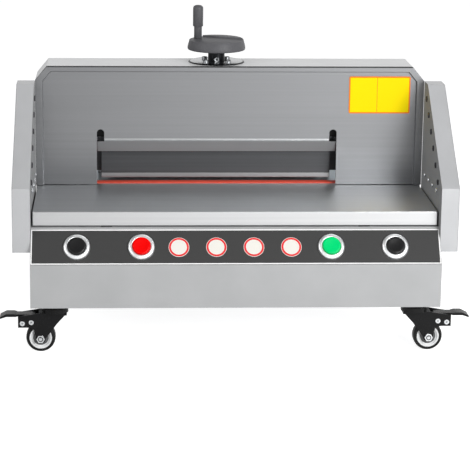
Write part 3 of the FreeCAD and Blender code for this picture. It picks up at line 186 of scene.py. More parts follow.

# ground steel, bright or coated, and copies of it darkened for painted shade and lightened for
# painted light: fine streaks run the way it was ground
frontSteel = groundSteel("satinFrontSteel", "#868789", "#8A8B8D", 0.32, "X", vary=0.02)
# a lighter copy of the front steel, painted light for what the bent lip reflects from the table
lipPaintedLight = groundSteel("lipPaintedLightSteel", "#BEBFC0", "#C4C5C6", 0.34, "X", vary=0.02)
# near black, painted shade on the front plate's edges and top rim
edgePaintedShade = groundSteel("sheetEdgePaintedShade", "#161617", "#1F2021", 0.6, "Y", metallic=0.2)
tableSteel = groundSteel("groundTableSteel", "#C8CACC", "#D0D2D4", 0.39, "X", vary=0.03)
nosingSteel = groundSteel("polishedNosing", "#C2C3C4", "#C9CACB", 0.32, "X")
frameSteel = groundSteel("machinedFrameSteel", "#5A5C5E", "#6A6C6E", 0.45, "Z", vary=0.07)
bladeSteel = groundSteel("groundToolSteel", "#B9BCBF", "#CBCDCF", 0.22, "X")
# near black, painted shade over the knife's body
knifePaintedShade = groundSteel("knifePaintedShadeSteel", "#161617", "#202022", 0.5, "X", metallic=0.4)
footSteel = groundSteel("brightFootSteel", "#8F9091", "#9C9D9E", 0.32, "X")
clampCoat = groundSteel("darkClampCoat", "#434446", "#4B4C4E", 0.38, "X", metallic=0.6)

# plated, blacked and turned metal: small bright highlights
nickel = plating("nickelPlate", "#D0D2D4", "#E4E6E8", 0.18)
satinNickel = plating("satinNickelRing", "#ECEEEF", "#F6F7F8", 0.36)
polished = plating("polishedFlange", "#A6A8AA", "#B2B4B6", 0.2)
zinc = plating("brightZinc", "#C6C8CA", "#DDDFE1", 0.24)
zincSheetAndShade = plating("zincPlatedSheetAndShade", "#8E9092", "#A2A4A6", 0.38)
blackOxideAndShade = plating("blackOxideAndShade", "#1B1C1E", "#2A2B2D", 0.36)
anodised = plating("clearAnodised", "#B4B7BA", "#C3C6C9", 0.34)
brass = plating("turnedBrass", "#B79A5C", "#C9AC6C", 0.28)

# plastic, vinyl, phenolic and rubber: one colour each, from a soft shine to dull
stickRed = moulded("redCuttingStick", "#EE5540", "#F5614A", 0.45, shine=0.3)
filmGrey = moulded("greyPanelFilm", "#363636", "#3C3C3C", 0.36, grain=0.6, depth=0.01, shine=0.4)
# a painted highlight that runs round the panel film
filmEdgeHighlight = moulded("panelEdgePaintedHighlight", "#E9E9E9", "#F2F2F2", 0.4, grain=0.6, depth=0.01)
vinyl = {"grain": 0.6, "depth": 0.005}
discWhite = moulded("whiteVinyl", "#DDDAD3", "#E2DFD8", 0.4, shine=0.3, **vinyl)
discRed = moulded("redVinyl", "#D9262B", "#E23338", 0.32, shine=0.3, **vinyl)
noticeYellow = moulded("yellowVinyl", "#F2D800", "#F8DE00", 0.42, shine=0.1, **vinyl)
noticeOrange = moulded("orangeVinyl", "#F07818", "#F68220", 0.4, shine=0.2, **vinyl)
capBlack = moulded("blackButtonCap", "#121213", "#19191A", 0.32, shine=0.3)
capRed = moulded("redButtonCap", "#E20202", "#EA0404", 0.3, shine=0.12)
capGreen = moulded("greenButtonCap", "#00C86C", "#02D276", 0.3, shine=0.12)
pressing = {"grain": 1.2, "depth": 0.04}
phenolic = moulded("phenolicHandwheel", "#525255", "#5C5C5F", 0.44, shine=0.2, **pressing)
gripBlack = moulded("phenolicGrip", "#4C4C4F", "#565659", 0.4, shine=0.3, **pressing)
lens = moulded("infraredWindow", "#353437", "#3D3C3F", 0.2, grain=0.8, depth=0.005, shine=0.3)
boardGreen = moulded("circuitBoard", "#0E3A20", "#155030", 0.35)
enclosure = moulded("greyEnclosure", "#8C8E8D", "#979998", 0.5)
socketBlack = moulded("blackSocket", "#151516", "#1E1E1F", 0.4)
padRubber = moulded("padRubber", "#1C1C1D", "#262627", 0.7)
tyreRubber = moulded("tyreRubber", "#111112", "#191919", 0.42, grain=1.0, depth=0.05, shine=0.2)
rimPlastic = moulded("paleCasterRim", "#D9DADB", "#E2E3E4", 0.36)
# the caster hub, painted dark as the shade in the wheel's sunken dish
hubPaintedShade = moulded("casterHubPaintedShade", "#4A4B4C", "#5C5D5E", 0.45, grain=2.5)

# castings and the smoked guard: pebbled and dull, and clear with a haze
motorPaint = castSkin("motorEnamel", "#22384E", "#2D465F", 0.4)
gearIron = castSkin("castGearbox", "#4D5052", "#5D6062", 0.55, metallic=0.3)
hoodClear = clearSheet("smokedPolycarbonate", "#D6DEE3", "#E2E8EC", 0.03)
print("finishes made,", len(bpy.data.materials))

bodyOf = {node: thing["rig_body"] for node, thing in frame["nodes"].items()}
weld = {"packed": 0.01, "made": 0.002}  # millimetres: two corners nearer than this are one
fold = {"flat": 0.5, "sharp": 32}  # degrees: less is one face, more is an edge
squarely = 0.7  # a face looks one way when this much of its normal does


def place(name, mesh, finishes, node, alone=True):
    # the mesh becomes a piece on the node's body; alone, it stands for the node, and
    # otherwise it adds to one that does
    for finish in finishes:
        mesh.materials.append(finish)
    piece = bpy.data.objects.new(name, mesh)
    bpy.context.scene.collection.objects.link(piece)
    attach(piece, bodyOf[node])
    if alone:
        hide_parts(node)
    return piece


def evaluated(holder, name):
    # the holder's mesh with its modifiers worked out, and the holder gone
    graph = bpy.context.evaluated_depsgraph_get()
    mesh = bpy.data.meshes.new_from_object(holder.evaluated_get(graph), depsgraph=graph)
    mesh.name = name
    holder.modifiers.clear()
    bpy.data.objects.remove(holder)
    return mesh


def held(name, bm):
    # an object that only holds a mesh, until its modifiers are worked out
    mesh = bpy.data.meshes.new(name)
    bm.to_mesh(mesh)
    bm.free()
    holder = bpy.data.objects.new(name + "Holder", mesh)
    bpy.context.scene.collection.objects.link(holder)
    return holder


def softened(name, node, finishes, edge, choose=None, keep=None, nudge=None):
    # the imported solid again, with its sharp edges rounded as a brake, a file or a mould
    # leaves them: choose picks a face's finish, keep says which edges stay sharp, and nudge
    # lifts a corner
    bm = bmesh.new()
    bm.from_mesh(frame["nodes"][node].data)
    bmesh.ops.remove_doubles(bm, verts=bm.verts, dist=weld["packed"] * mm)
    bmesh.ops.dissolve_limit(bm, angle_limit=radians(fold["flat"]), verts=bm.verts,
                             edges=bm.edges)
    if nudge:
        for vert in bm.verts:
            vert.co.z += nudge(vert.co / mm) * mm
    sharp = [e for e in bm.edges
             if len(e.link_faces) == 2 and e.calc_face_angle(0) > radians(fold["sharp"])
             and not (keep and keep((e.verts[0].co + e.verts[1].co) / 2 / mm))]
    bmesh.ops.bevel(bm, geom=sharp, offset=edge * mm, segments=2, profile=0.5, affect="EDGES",
                    clamp_overlap=True)
    for face in bm.faces:
        face.smooth = True
        face.material_index = choose(face.calc_center_median() / mm, face.normal) if choose else 0
    holder = held(name, bm)
    normals = holder.modifiers.new("flatFaces", "WEIGHTED_NORMAL")
    normals.weight = 100
    return place(name, evaluated(holder, name), finishes, node)


def finished(name, bm, finishes, node, angle=fold["sharp"], alone=True):
    # a mesh made here: welded, facing outwards, and smooth but for its sharp edges
    bmesh.ops.remove_doubles(bm, verts=bm.verts, dist=weld["made"] * mm)
    bmesh.ops.recalc_face_normals(bm, faces=bm.faces)
    for face in bm.faces:
        face.smooth = True
    for edge in bm.edges:
        edge.smooth = len(edge.link_faces) == 2 and edge.calc_face_angle(0) < radians(angle)
    mesh = bpy.data.meshes.new(name)
    bm.to_mesh(mesh)
    bm.free()
    return place(name, mesh, finishes, node, alone)


def at(x, y, z, axis="Z"):
    # a spot in millimetres, with what stood along Z laid along the axis
    turn = {"X": Matrix.Rotation(pi / 2, 4, "Y"), "-X": Matrix.Rotation(-pi / 2, 4, "Y"),
            "Y": Matrix.Rotation(-pi / 2, 4, "X"), "-Y": Matrix.Rotation(pi / 2, 4, "X"),
            "Z": Matrix()}[axis]
    return Matrix.Translation((x, y, z)) @ turn


def lathe(bm, profile, spot, turns=48, bands=None):
    # profile is (radius, height) from one end to the other; bands gives each stretch its finish
    rings = []
    for radius, height in profile:
        steps = turns if radius else 1
        angles = [2 * pi * i / steps for i in range(steps)]
        rings.append([bm.verts.new(spot @ Vector((radius * cos(a), radius * sin(a), height)) * mm)
                      for a in angles])
    for band, (low, high) in enumerate(zip(rings, rings[1:])):
        for i in range(turns):
            j = (i + 1) % turns
            corners = [low[i % len(low)], low[j % len(low)], high[j % len(high)],
                       high[i % len(high)]]
            corners = list(dict.fromkeys(corners))
            if len(corners) > 2:
                bm.faces.new(corners).material_index = bands[band] if bands else 0


def slab(bm, outline, low, high, spot, finish=0):
    # a flat outline in millimetres, given its thickness between two heights
    ends = [[bm.verts.new(spot @ Vector((x, y, z)) * mm) for x, y in outline]
            for z in (low, high)]
    bm.faces.new(ends[0][::-1]).material_index = finish
    bm.faces.new(ends[1]).material_index = finish
    for i in range(len(outline)):
        j = (i + 1) % len(outline)
        side = bm.faces.new([ends[0][i], ends[0][j], ends[1][j], ends[1][i]])
        side.material_index = finish


def roundedBox(x0, y0, x1, y1, radius, steps=5):
    outline = []
    for x, y, start in ((x1 - radius, y1 - radius, 0), (x0 + radius, y1 - radius, 90),
                        (x0 + radius, y0 + radius, 180), (x1 - radius, y0 + radius, 270)):
        for i in range(steps + 1):
            turn = radians(start + 90 * i / steps)
            outline.append((x + radius * cos(turn), y + radius * sin(turn)))
    return outline


def paint(finish, *nodes):
    for node in nodes:
        mesh = frame["nodes"][node].data
        mesh.materials.clear()
        mesh.materials.append(finish)


# what shows little or nothing keeps its solid and gets its finish
paint(zincSheetAndShade, "base_plate")
paint(padRubber, "table_pads")
paint(frameSteel, "left_side_frame", "right_side_frame", "top_crossbeam", "knife_carrier")
paint(frameSteel, "pull_rods", "rocker_shaft")
paint(boardGreen, "light_curtains")
paint(motorPaint, "drive_motor")
paint(gearIron, "drive_gearbox", "rocker_bearings")
paint(enclosure, "control_box")
paint(socketBlack, "power_inlet")
paint(anodised, "side_lays", "back_gauge")
paint(brass, "screw_bearings")
paint(nickel, "gauge_screw")
paint(zinc, "cover_hinges")
paint(casterCoat, "caster_plates")

# sheet and machined pieces: how far each one's edges are rounded
edges = {"casing": 0.8, "wing": 0.6, "wingCover": 0.4, "cover": 0.6, "back": 0.5, "plate": 0.4,
         "table": 1.2, "stick": 0.4, "bar": 0.6, "knife": 0.2, "hood": 0.6, "film": 0.15,
         "fork": 0.5, "pedal": 0.8}
softened("bodyCasing", "base_casing", [bodyCoat], edges["casing"])
# each wing's face towards the middle takes the painted shade
softened("leftWing", "left_wing", [wingCoat, wingInsidePaintedShade], edges["wing"],
         lambda spot, normal: int(normal.x > squarely))
softened("rightWing", "right_wing", [wingCoat, wingInsidePaintedShade], edges["wing"],
         lambda spot, normal: int(normal.x < -squarely))
softened("wingCovers", "wing_covers", [wingCoat], edges["wingCover"])
softened("gantryCover", "top_cover", [coverCoat], edges["cover"])
softened("gantryBack", "gantry_back_panel", [coverCoat], edges["back"])

# front plate: where its foot, its window and its top rim are, how far the foot clears the
# table, how far the top edge slants, and how a face leans to count as an edge or as the lip
guard = {"foot": 192, "clear": 0.8, "window": (255, 275), "lip": 259, "rim": 340, "top": 363.5,
         "front": -100, "slant": 0.8, "edgeOn": 0.1, "tilt": 0.3, "lean": 0.5}


def guardFinish(spot, normal):
    # the sheet's edges and rim are painted dark as shade, and the bent lip is painted lighter for
    # the light it reflects from the table
    low, high = guard["window"]
    if abs(normal.y) < guard["edgeOn"] and low < spot.z < high:
        return 1
    if spot.z > guard["rim"] and normal.z > guard["tilt"]:
        return 1
    lip = normal.z < -guard["tilt"] and normal.y < -guard["lean"] and spot.z < guard["lip"]
    return 2 if lip else 0


def guardEdges(spot):
    # the plate clears the table by a dark line, and its sheared top edge slants forwards
    if spot.z < guard["foot"]:
        return guard["clear"]
    return -guard["slant"] if spot.z > guard["top"] and spot.y < guard["front"] else 0


softened("frontPlate", "front_guard", [frontSteel, edgePaintedShade, lipPaintedLight], edges["plate"],
         guardFinish, nudge=guardEdges)

# table: only its outer edges are rounded, and its front one is the polished nosing
table = {"nosing": -250, "halfWidth": 274, "halfDepth": 256}
softened("workTable", "work_table", [tableSteel, nosingSteel], edges["table"],
         lambda spot, normal: int(normal.y < -squarely and spot.y < table["nosing"]),
         lambda spot: abs(spot.x) < table["halfWidth"] and abs(spot.y) < table["halfDepth"])
softened("cuttingStick", "cutting_stick", [stickRed], edges["stick"])
softened("clampBar", "clamp_beam", [clampCoat], edges["bar"])
softened("clampFoot", "clamp_foot", [footSteel], edges["bar"])

# knife: painted dark as shade, but for the ground bevel, whose faces look down at a slant
bevel = {"most": -0.9, "least": -0.1}
softened("knifeBlade", "knife", [knifePaintedShade, bladeSteel], edges["knife"],
         lambda spot, normal: int(bevel["most"] < normal.z < bevel["least"]))
softened("rearHood", "rear_cover", [hoodClear], edges["hood"])
softened("panelFilm", "control_overlay", [filmGrey], edges["film"])
print("sheet and machined pieces made")

# the slanted panel, from the fold at its foot to the ledge under the table: its film stops
# low and high short of the two, and the buttons sit a drop below its middle
panel = {"run": 33, "rise": 44.3, "foot": 126, "front": -298, "film": 0.8, "low": 1.1,
         "high": 3.0, "drop": 1.6}
panelTilt = atan2(panel["rise"], panel["run"])
panelSlant = hypot(panel["run"], panel["rise"])
panelMiddle = Vector((0, panel["front"] + panel["run"] / 2, panel["foot"] + panel["rise"] / 2))


def onPanel(across, up=0.0):
    return Matrix.Translation(panelMiddle + Vector((across, 0, 0))) \
        @ Matrix.Rotation(panelTilt, 4, "X") @ Matrix.Translation((0, up, 0))


# a pale line round the film, just inside its edge, is a painted highlight for the light on the
# panel's folded edges
line = {"inset": 0.2, "width": 1.6, "thick": 0.05, "sink": 0.1}
filmLow, filmHigh = (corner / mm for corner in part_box("control_overlay"))
loops = []
for inset in (line["inset"], line["inset"] + line["width"]):
    left, right = filmLow.x + inset, filmHigh.x - inset
    low, high = -panelSlant / 2 + panel["low"] + inset, panelSlant / 2 - panel["high"] - inset
    loops.append([(left, low), (right, low), (right, high), (left, high)])
bm = bmesh.new()
rims = [[[bm.verts.new(onPanel(0) @ Vector((x, y, panel["film"] + lift)) * mm) for x, y in loop]
         for loop in loops] for lift in (-line["sink"], line["thick"])]
(lowOut, lowIn), (topOut, topIn) = rims
for i in range(4):
    j = (i + 1) % 4
    bm.faces.new((topOut[i], topOut[j], topIn[j], topIn[i]))
    bm.faces.new((lowOut[i], lowIn[i], lowIn[j], lowOut[j]))
    bm.faces.new((lowOut[i], lowOut[j], topOut[j], topOut[i]))
    bm.faces.new((lowIn[i], topIn[i], topIn[j], lowIn[j]))
finished("panelLine", bm, [filmEdgeHighlight], "control_overlay", alone=False)


def rowTree(name, template, finish):
    # copies of one part along a straight line
    tree = bpy.data.node_groups.new(name, "GeometryNodeTree")
    for label, kind in (("Count", "Int"), ("Start", "Vector"), ("Step", "Vector")):
        tree.interface.new_socket(label, in_out="INPUT", socket_type="NodeSocket" + kind)
    tree.interface.new_socket("Geometry", in_out="OUTPUT", socket_type="NodeSocketGeometry")
    sizes = add(tree, "NodeGroupInput")
    row = add(tree, "GeometryNodeMeshLine", links={
        "Count": (sizes, "Count"), "Start Location": (sizes, "Start"), "Offset": (sizes, "Step")})
    part = add(tree, "GeometryNodeObjectInfo", {"As Instance": True, "Object": template})
    copies = add(tree, "GeometryNodeInstanceOnPoints", links={
        "Points": (row, 0), "Instance": (part, "Geometry")})
    solid = add(tree, "GeometryNodeRealizeInstances", links={"Geometry": (copies, 0)})
    coated = add(tree, "GeometryNodeSetMaterial", {"Material": finish}, {"Geometry": (solid, 0)})
    add(tree, "NodeGroupOutput", links={"Geometry": (coated, 0)})
    return tree


def worked(holder, tree, values, name):
    # the rule's named sizes are set by socket, and its result comes back as a plain mesh
    rule = holder.modifiers.new("rule", "NODES")
    rule.node_group = tree
    for item in tree.interface.items_tree:
        if item.in_out == "INPUT" and item.name in values:
            rule[item.identifier] = values[item.name]
    return evaluated(holder, name)


def rows(name, node, finish, profile, lines, turns=24, alone=True):
    # each line is (facing, count, start, step) in millimetres, and all end in one mesh
    joined = bmesh.new()
    for facing, count, start, step in lines:
        bm = bmesh.new()
        lathe(bm, profile, facing, turns)
        bmesh.ops.remove_doubles(bm, verts=bm.verts, dist=weld["made"] * mm)
        bmesh.ops.recalc_face_normals(bm, faces=bm.faces)
        template = held(name + "Template", bm)
        holder = bpy.data.objects.new(name + "Row", bpy.data.meshes.new(name + "Row"))
        bpy.context.scene.collection.objects.link(holder)
        tree = rowTree(name + "Rule", template, finish)
        joined.from_mesh(worked(holder, tree, {
            "Count": count, "Start": Vector(start) * mm, "Step": Vector(step) * mm}, name))
        bpy.data.objects.remove(template)
    return finished(name, joined, [finish], node, alone=alone)


def panelRow(pitch, count=2, shift=0.0):
    # copies that stand square on the slanted panel, evenly to both sides of its middle
    facing = Matrix.Rotation(panelTilt, 4, "X")
    start = onPanel(shift - pitch * (count - 1) / 2, -panel["drop"]).translation
    return facing, count, start, (pitch, 0, 0)


# push buttons: a turned ring round a dished cap
button = {"outer": 215.5, "inner": 128.5, "ring": 18.15, "ringTop": 5.8, "recess": 12.6,
          "floor": 1.3, "face": 0.6, "cap": 12.2, "capTop": 8.5, "capSkirt": 4, "dish": 0.9,
          "stem": 7.7, "stemEnd": -16, "play": 0.4, "barrel": 11, "barrelEnd": -22}
ring, top, hole, barrel = (button[size] for size in ("ring", "ringTop", "recess", "barrel"))
bore = button["stem"] + button["play"]
rows("buttonRings", "button_bezels", satinNickel,
     [(hole, button["floor"]), (hole, top - 0.5), (hole + 0.5, top - 0.1), (hole + 1.1, top),
      (ring - 3.0, top - 0.1), (ring - 1.7, top - 0.6), (ring - 0.7, top - 1.5),
      (ring - 0.1, top - 2.9), (ring, top - 4.4), (ring, button["face"]),
      (barrel, button["face"]), (barrel, button["barrelEnd"]), (bore, button["barrelEnd"]),
      (bore, button["floor"]), (hole, button["floor"])],
     [panelRow(2 * button["outer"]), panelRow(2 * button["inner"])], turns=64)
cap, top, dish, stem = (button[size] for size in ("cap", "capTop", "dish", "stem"))
capProfile = [(0, top - dish), (4, top - dish * 0.9), (8, top - dish * 0.4), (cap - 2, top),
              (cap - 0.8, top - 0.15), (cap, top - 0.9), (cap, top - button["capSkirt"]),
              (stem, top - button["capSkirt"]), (stem, button["stemEnd"]),
              (0, button["stemEnd"])]
buttons = {
    "cut_button_left": ("leftCutCap", -button["outer"], capBlack),
    "power_button": ("powerCap", -button["inner"], capRed),
    "reset_button": ("resetCap", button["inner"], capGreen),
    "cut_button_right": ("rightCutCap", button["outer"], capBlack),
}
for node, (name, across, finish) in buttons.items():
    bm = bmesh.new()
    lathe(bm, capProfile, onPanel(across, -panel["drop"]), turns=64)
    finished(name, bm, [finish], node, angle=50)

# four white discs, each with a red ring
disc = {"count": 4, "pitch": 50.7, "shift": -1.8, "radius": 14, "ringOut": 13.4, "ringIn": 10.8,
        "foot": 0.7, "top": 1.2, "ink": 0.03, "bevel": 0.1}
discRow = [panelRow(disc["pitch"], disc["count"], disc["shift"])]
under, inked = disc["top"] - disc["bevel"], disc["top"] + disc["ink"]
rows("panelDiscs", "panel_stickers", discWhite,
     [(0, disc["top"]), (disc["radius"] - disc["bevel"], disc["top"]), (disc["radius"], under),
      (disc["radius"], disc["foot"]), (0, disc["foot"])], discRow, turns=64)
rows("discRings", "panel_stickers", discRed,
     [(disc["ringIn"], under), (disc["ringIn"], inked), (disc["ringOut"], inked),
      (disc["ringOut"], under), (disc["ringIn"], under)], discRow, turns=64, alone=False)
print("panel made")

# notice plate: a yellow face inside an orange edge, split by a thin line
notice = {"corner": 2.4, "edge": 1.9, "line": 0.8, "split": 0.46, "lift": 0.05, "sink": 0.1}
low, high = (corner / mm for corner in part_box("notice_plate"))
bm = bmesh.new()
face = at(0, low.y, 0, "-Y")
slab(bm, roundedBox(low.x, low.z, high.x, high.z, notice["corner"]), low.y - high.y, 0, face, 1)
inner = notice["edge"]
middle = low.x + notice["split"] * (high.x - low.x)
for x0, x1 in ((low.x + inner, middle - notice["line"] / 2),
               (middle + notice["line"] / 2, high.x - inner)):
    slab(bm, roundedBox(x0, low.z + inner, x1, high.z - inner, notice["corner"] - inner),
         -notice["sink"], notice["lift"], face, 0)
finished("noticePlate", bm, [noticeYellow, noticeOrange], "notice_plate")

# light curtain windows up each wing's slant, and the row of screws under them
wing = {"wall": 276.5, "run": 144, "rise": 118, "windows": 6, "pitch": 30, "first": (-244, 228),
        "window": 4, "windowSink": -1.5, "screws": 4, "screwPitch": 32.7,
        "firstScrew": (-236, 215.3), "screw": 3, "shank": 1.5, "screwEnd": -6}
slope = hypot(wing["run"], wing["rise"])
step = (0, wing["pitch"] * wing["run"] / slope, wing["pitch"] * wing["rise"] / slope)
sideRows = ((at(0, 0, 0, "X"), -1), (at(0, 0, 0, "-X"), 1))
radius, end = wing["window"], wing["windowSink"]
rows("wingWindows", "wing_windows", lens,
     [(0, 0.5), (radius - 1.8, 0.42), (radius - 0.6, 0.2), (radius, -0.1), (radius, end), (0, end)],
     [(facing, wing["windows"], (side * wing["wall"], *wing["first"]), step)
      for facing, side in sideRows])
radius, shank, end = wing["screw"], wing["shank"], wing["screwEnd"]
rows("wingScrews", "wing_screws", nickel,
     [(0, 0.6), (0.9, 0.6), (1.1, 1.15), (radius - 1.1, 1.0), (radius - 0.4, 0.6), (radius, 0),
      (shank, 0), (shank, end), (0, end)],
     [(facing, wing["screws"], (side * wing["wall"], *wing["firstScrew"]),
       (0, wing["screwPitch"], 0)) for facing, side in sideRows])


def socketHead(bolt):
    # a cap head, its round socket and, where the bolt has one, its shank
    top = [(0, bolt["floor"]), (bolt["socket"], bolt["floor"]), (bolt["socket"], bolt["height"]),
           (bolt["head"] - 0.5, bolt["height"]), (bolt["head"], bolt["height"] - 0.5),
           (bolt["head"], 0)]
    if "shank" not in bolt:
        return top + [(0, 0)]
    return top + [(bolt["shank"], 0), (bolt["shank"], bolt["end"]), (0, bolt["end"])]


# knife bolts: socket heads in a row along the blade
knifeBolt = {"count": 5, "pitch": 80, "middle": -18.3, "front": -78.2, "level": 292.5,
             "head": 6.5, "height": 4, "socket": 2.8, "floor": 1.5, "shank": 4, "end": -18}
first = knifeBolt["middle"] - knifeBolt["pitch"] * (knifeBolt["count"] - 1) / 2
rows("knifeBolts", "knife_bolts", blackOxideAndShade, socketHead(knifeBolt),
     [(at(0, 0, 0, "-Y"), knifeBolt["count"], (first, knifeBolt["front"], knifeBolt["level"]),
       (knifeBolt["pitch"], 0, 0))])
print("rows of fasteners and windows made")

# clamp spindle: a polished flange on the cover, its rim painted black as shade, held by small
# socket heads
spindle = {"x": -18.3, "y": -52, "top": 364, "flange": 40.3, "sheet": 1.5, "boss": 16,
           "bossLow": 358, "bore": 13.3, "radius": 7, "foot": 222, "chamfer": 1}
disk = spindle["top"] + spindle["sheet"]
bm = bmesh.new()
# the flange's chamfer and side take the black as painted shade
lathe(bm, [(spindle["bore"], disk), (spindle["flange"] - 2, disk),
           (spindle["flange"] - 0.7, disk - 0.3), (spindle["flange"], disk - 0.9),
           (spindle["flange"], spindle["top"]), (spindle["boss"], spindle["top"]),
           (spindle["boss"], spindle["bossLow"]), (spindle["bore"], spindle["bossLow"]),
           (spindle["bore"], disk)],
      at(spindle["x"], spindle["y"], 0), turns=96, bands=[0, 1, 1, 1, 0, 0, 0, 0])
finished("spindleFlange", bm, [polished, blackOxideAndShade], "spindle_flange")
flangeBolt = {"circle": 23, "head": 4, "height": 3.5, "socket": 2, "floor": 1.6}
corner = flangeBolt["circle"] / 2 ** 0.5
rows("flangeBolts", "spindle_flange", zincSheetAndShade, socketHead(flangeBolt),
     [(at(0, 0, 0), 2, (spindle["x"] - corner, spindle["y"] + side * corner, disk),
       (2 * corner, 0, 0)) for side in (-1, 1)], alone=False)

# its black hub, with a ringed set screw in front
hub = {"radius": 12, "low": 363.5, "high": 382, "screwRise": 5, "screw": 3.6, "socket": 1.6,
       "screwEnd": -4}
bm = bmesh.new()
lathe(bm, [(0, spindle["foot"]), (spindle["radius"] - spindle["chamfer"], spindle["foot"]),
           (spindle["radius"], spindle["foot"] + spindle["chamfer"]),
           (spindle["radius"], hub["low"]), (hub["radius"] - 0.5, hub["low"]),
           (hub["radius"], hub["low"] + 0.5), (hub["radius"], hub["high"]), (0, hub["high"])],
      at(spindle["x"], spindle["y"], 0), turns=64)
lathe(bm, [(0, -1.2), (hub["socket"], -1.2), (hub["socket"], 0.3), (hub["socket"] + 0.5, 0.5),
           (hub["screw"] - 0.4, 0.5), (hub["screw"], 0.1), (hub["screw"], hub["screwEnd"]),
           (0, hub["screwEnd"])],
      at(spindle["x"], spindle["y"] - hub["radius"], hub["low"] + hub["screwRise"], "-Y"),
      turns=24, bands=[0, 0, 1, 1, 1, 1, 1])
finished("clampSpindle", bm, [blackOxideAndShade, zincSheetAndShade], "clamp_spindle")

# handwheel: turned all round, then its front lowered along a slanting line
wheel = {"radius": 41.8, "topRadius": 39, "low": 382, "height": 16, "drop": 2, "left": -18.6,
         "leftBack": 30, "right": 35, "rightBack": 2, "over": 6, "edge": 0.3}
reach, brow, rise = wheel["radius"], wheel["topRadius"], wheel["height"]
standing = at(spindle["x"], spindle["y"], wheel["low"])
bm = bmesh.new()
lathe(bm, [(0, 0), (reach - 1.8, 0), (reach - 0.7, 0.4), (reach - 0.1, 1.3), (reach, 2.4),
           (reach, 4.4), (reach - 0.3, 5.6), (brow + 0.2, rise - 1.8), (brow - 0.1, rise - 1.3),
           (brow - 0.9, rise - 0.4), (brow - 1.6, rise), (0, rise)], standing, turns=128)
bmesh.ops.recalc_face_normals(bm, faces=bm.faces)
holder = held("handwheelTurning", bm)
bm = bmesh.new()
far = reach + wheel["over"]
slab(bm, [(-far, -far), (far, -far), (far, wheel["rightBack"]),
          (wheel["right"], wheel["rightBack"]), (wheel["left"], wheel["leftBack"]),
          (wheel["left"], far), (-far, far)],
     rise - wheel["drop"], rise + wheel["over"], standing)
cutter = held("handwheelStep", bm)
lowering = holder.modifiers.new("step", "BOOLEAN")
lowering.operation, lowering.solver, lowering.object = "DIFFERENCE", "EXACT", cutter
rounding = holder.modifiers.new("edges", "BEVEL")
rounding.width, rounding.segments, rounding.limit_method = wheel["edge"] * mm, 2, "ANGLE"
rounding.angle_limit = radians(fold["sharp"])
bm = bmesh.new()
bm.from_mesh(evaluated(holder, "handwheelCast"))
bpy.data.objects.remove(cutter)
finished("handwheel", bm, [phenolic], "handwheel", angle=40)

# turning grip: a straight neck, a barrel with a crisp lower edge and a domed top
grip = {"x": -44.7, "y": -40, "low": 396.3, "neck": 5.7, "shoulder": 17.3, "barrel": 7.4,
        "height": 48.4}
neck, shoulder, barrel, top = (grip[size] for size in ("neck", "shoulder", "barrel", "height"))
bm = bmesh.new()
lathe(bm, [(0, 0), (neck - 0.2, 0), (neck, 0.3), (neck, shoulder),
           (barrel - 0.4, shoulder + 0.3), (barrel, shoulder + 0.9), (barrel, top - 5.2),
           (barrel - 0.2, top - 3.6), (barrel - 0.8, top - 2.2), (barrel - 1.9, top - 1.1),
           (barrel - 3.4, top - 0.4), (barrel - 5.4, top - 0.05), (0, top)],
      at(grip["x"], grip["y"], grip["low"]), 48)
finished("wheelGrip", bm, [gripBlack], "wheel_grip", angle=40)
print("clamp spindle and handwheel made")

# back gauge's knob: its finger flutes follow one rule, waves pressed in round the axis
knob = {"x": -18.3, "y": 298, "z": 152, "radius": 25, "width": 26, "flutes": 8, "depth": 1.6,
        "crisp": 3, "neck": 10, "neckEnd": 266, "clear": 2}
tree = bpy.data.node_groups.new("fluteRule", "GeometryNodeTree")
tree.interface.new_socket("Geometry", in_out="INPUT", socket_type="NodeSocketGeometry")
tree.interface.new_socket("Centre", in_out="INPUT", socket_type="NodeSocketVector")
for label in ("Flutes", "Depth", "Crispness", "Neck"):
    tree.interface.new_socket(label, in_out="INPUT", socket_type="NodeSocketFloat")
tree.interface.new_socket("Geometry", in_out="OUTPUT", socket_type="NodeSocketGeometry")
sizes = add(tree, "NodeGroupInput")
spot = add(tree, "GeometryNodeInputPosition")
arm = add(tree, "ShaderNodeVectorMath", links={0: (spot, 0), 1: (sizes, "Centre")},
          operation="SUBTRACT")
radial = add(tree, "ShaderNodeVectorMath", {1: (1, 0, 1)}, {0: (arm, 0)}, operation="MULTIPLY")
parts = add(tree, "ShaderNodeSeparateXYZ", links={0: (radial, 0)})
angle = add(tree, "ShaderNodeMath", links={0: (parts, "Z"), 1: (parts, "X")},
            operation="ARCTAN2")
turned = add(tree, "ShaderNodeMath", links={0: (angle, 0), 1: (sizes, "Flutes")},
             operation="MULTIPLY")
wave = add(tree, "ShaderNodeMath", links={0: (turned, 0)}, operation="COSINE")
hollow = add(tree, "ShaderNodeMath", {1: 0.0}, {0: (wave, 0)}, operation="MAXIMUM")
narrow = add(tree, "ShaderNodeMath", links={0: (hollow, 0), 1: (sizes, "Crispness")},
             operation="POWER")
inward = add(tree, "ShaderNodeMath", links={0: (narrow, 0), 1: (sizes, "Depth")},
             operation="MULTIPLY")
back = add(tree, "ShaderNodeMath", {1: -1.0}, {0: (inward, 0)}, operation="MULTIPLY")
outward = add(tree, "ShaderNodeVectorMath", links={0: (radial, 0)}, operation="NORMALIZE")
shift = add(tree, "ShaderNodeVectorMath", links={0: (outward, 0), "Scale": (back, 0)},
            operation="SCALE")
length = add(tree, "ShaderNodeVectorMath", links={0: (radial, 0)}, operation="LENGTH")
rim = add(tree, "ShaderNodeMath", links={0: (length, "Value"), 1: (sizes, "Neck")},
          operation="GREATER_THAN")
pressed = add(tree, "GeometryNodeSetPosition", links={
    "Geometry": (sizes, "Geometry"), "Selection": (rim, 0), "Offset": (shift, 0)})
solid = add(tree, "GeometryNodeRealizeInstances", links={"Geometry": (pressed, 0)})
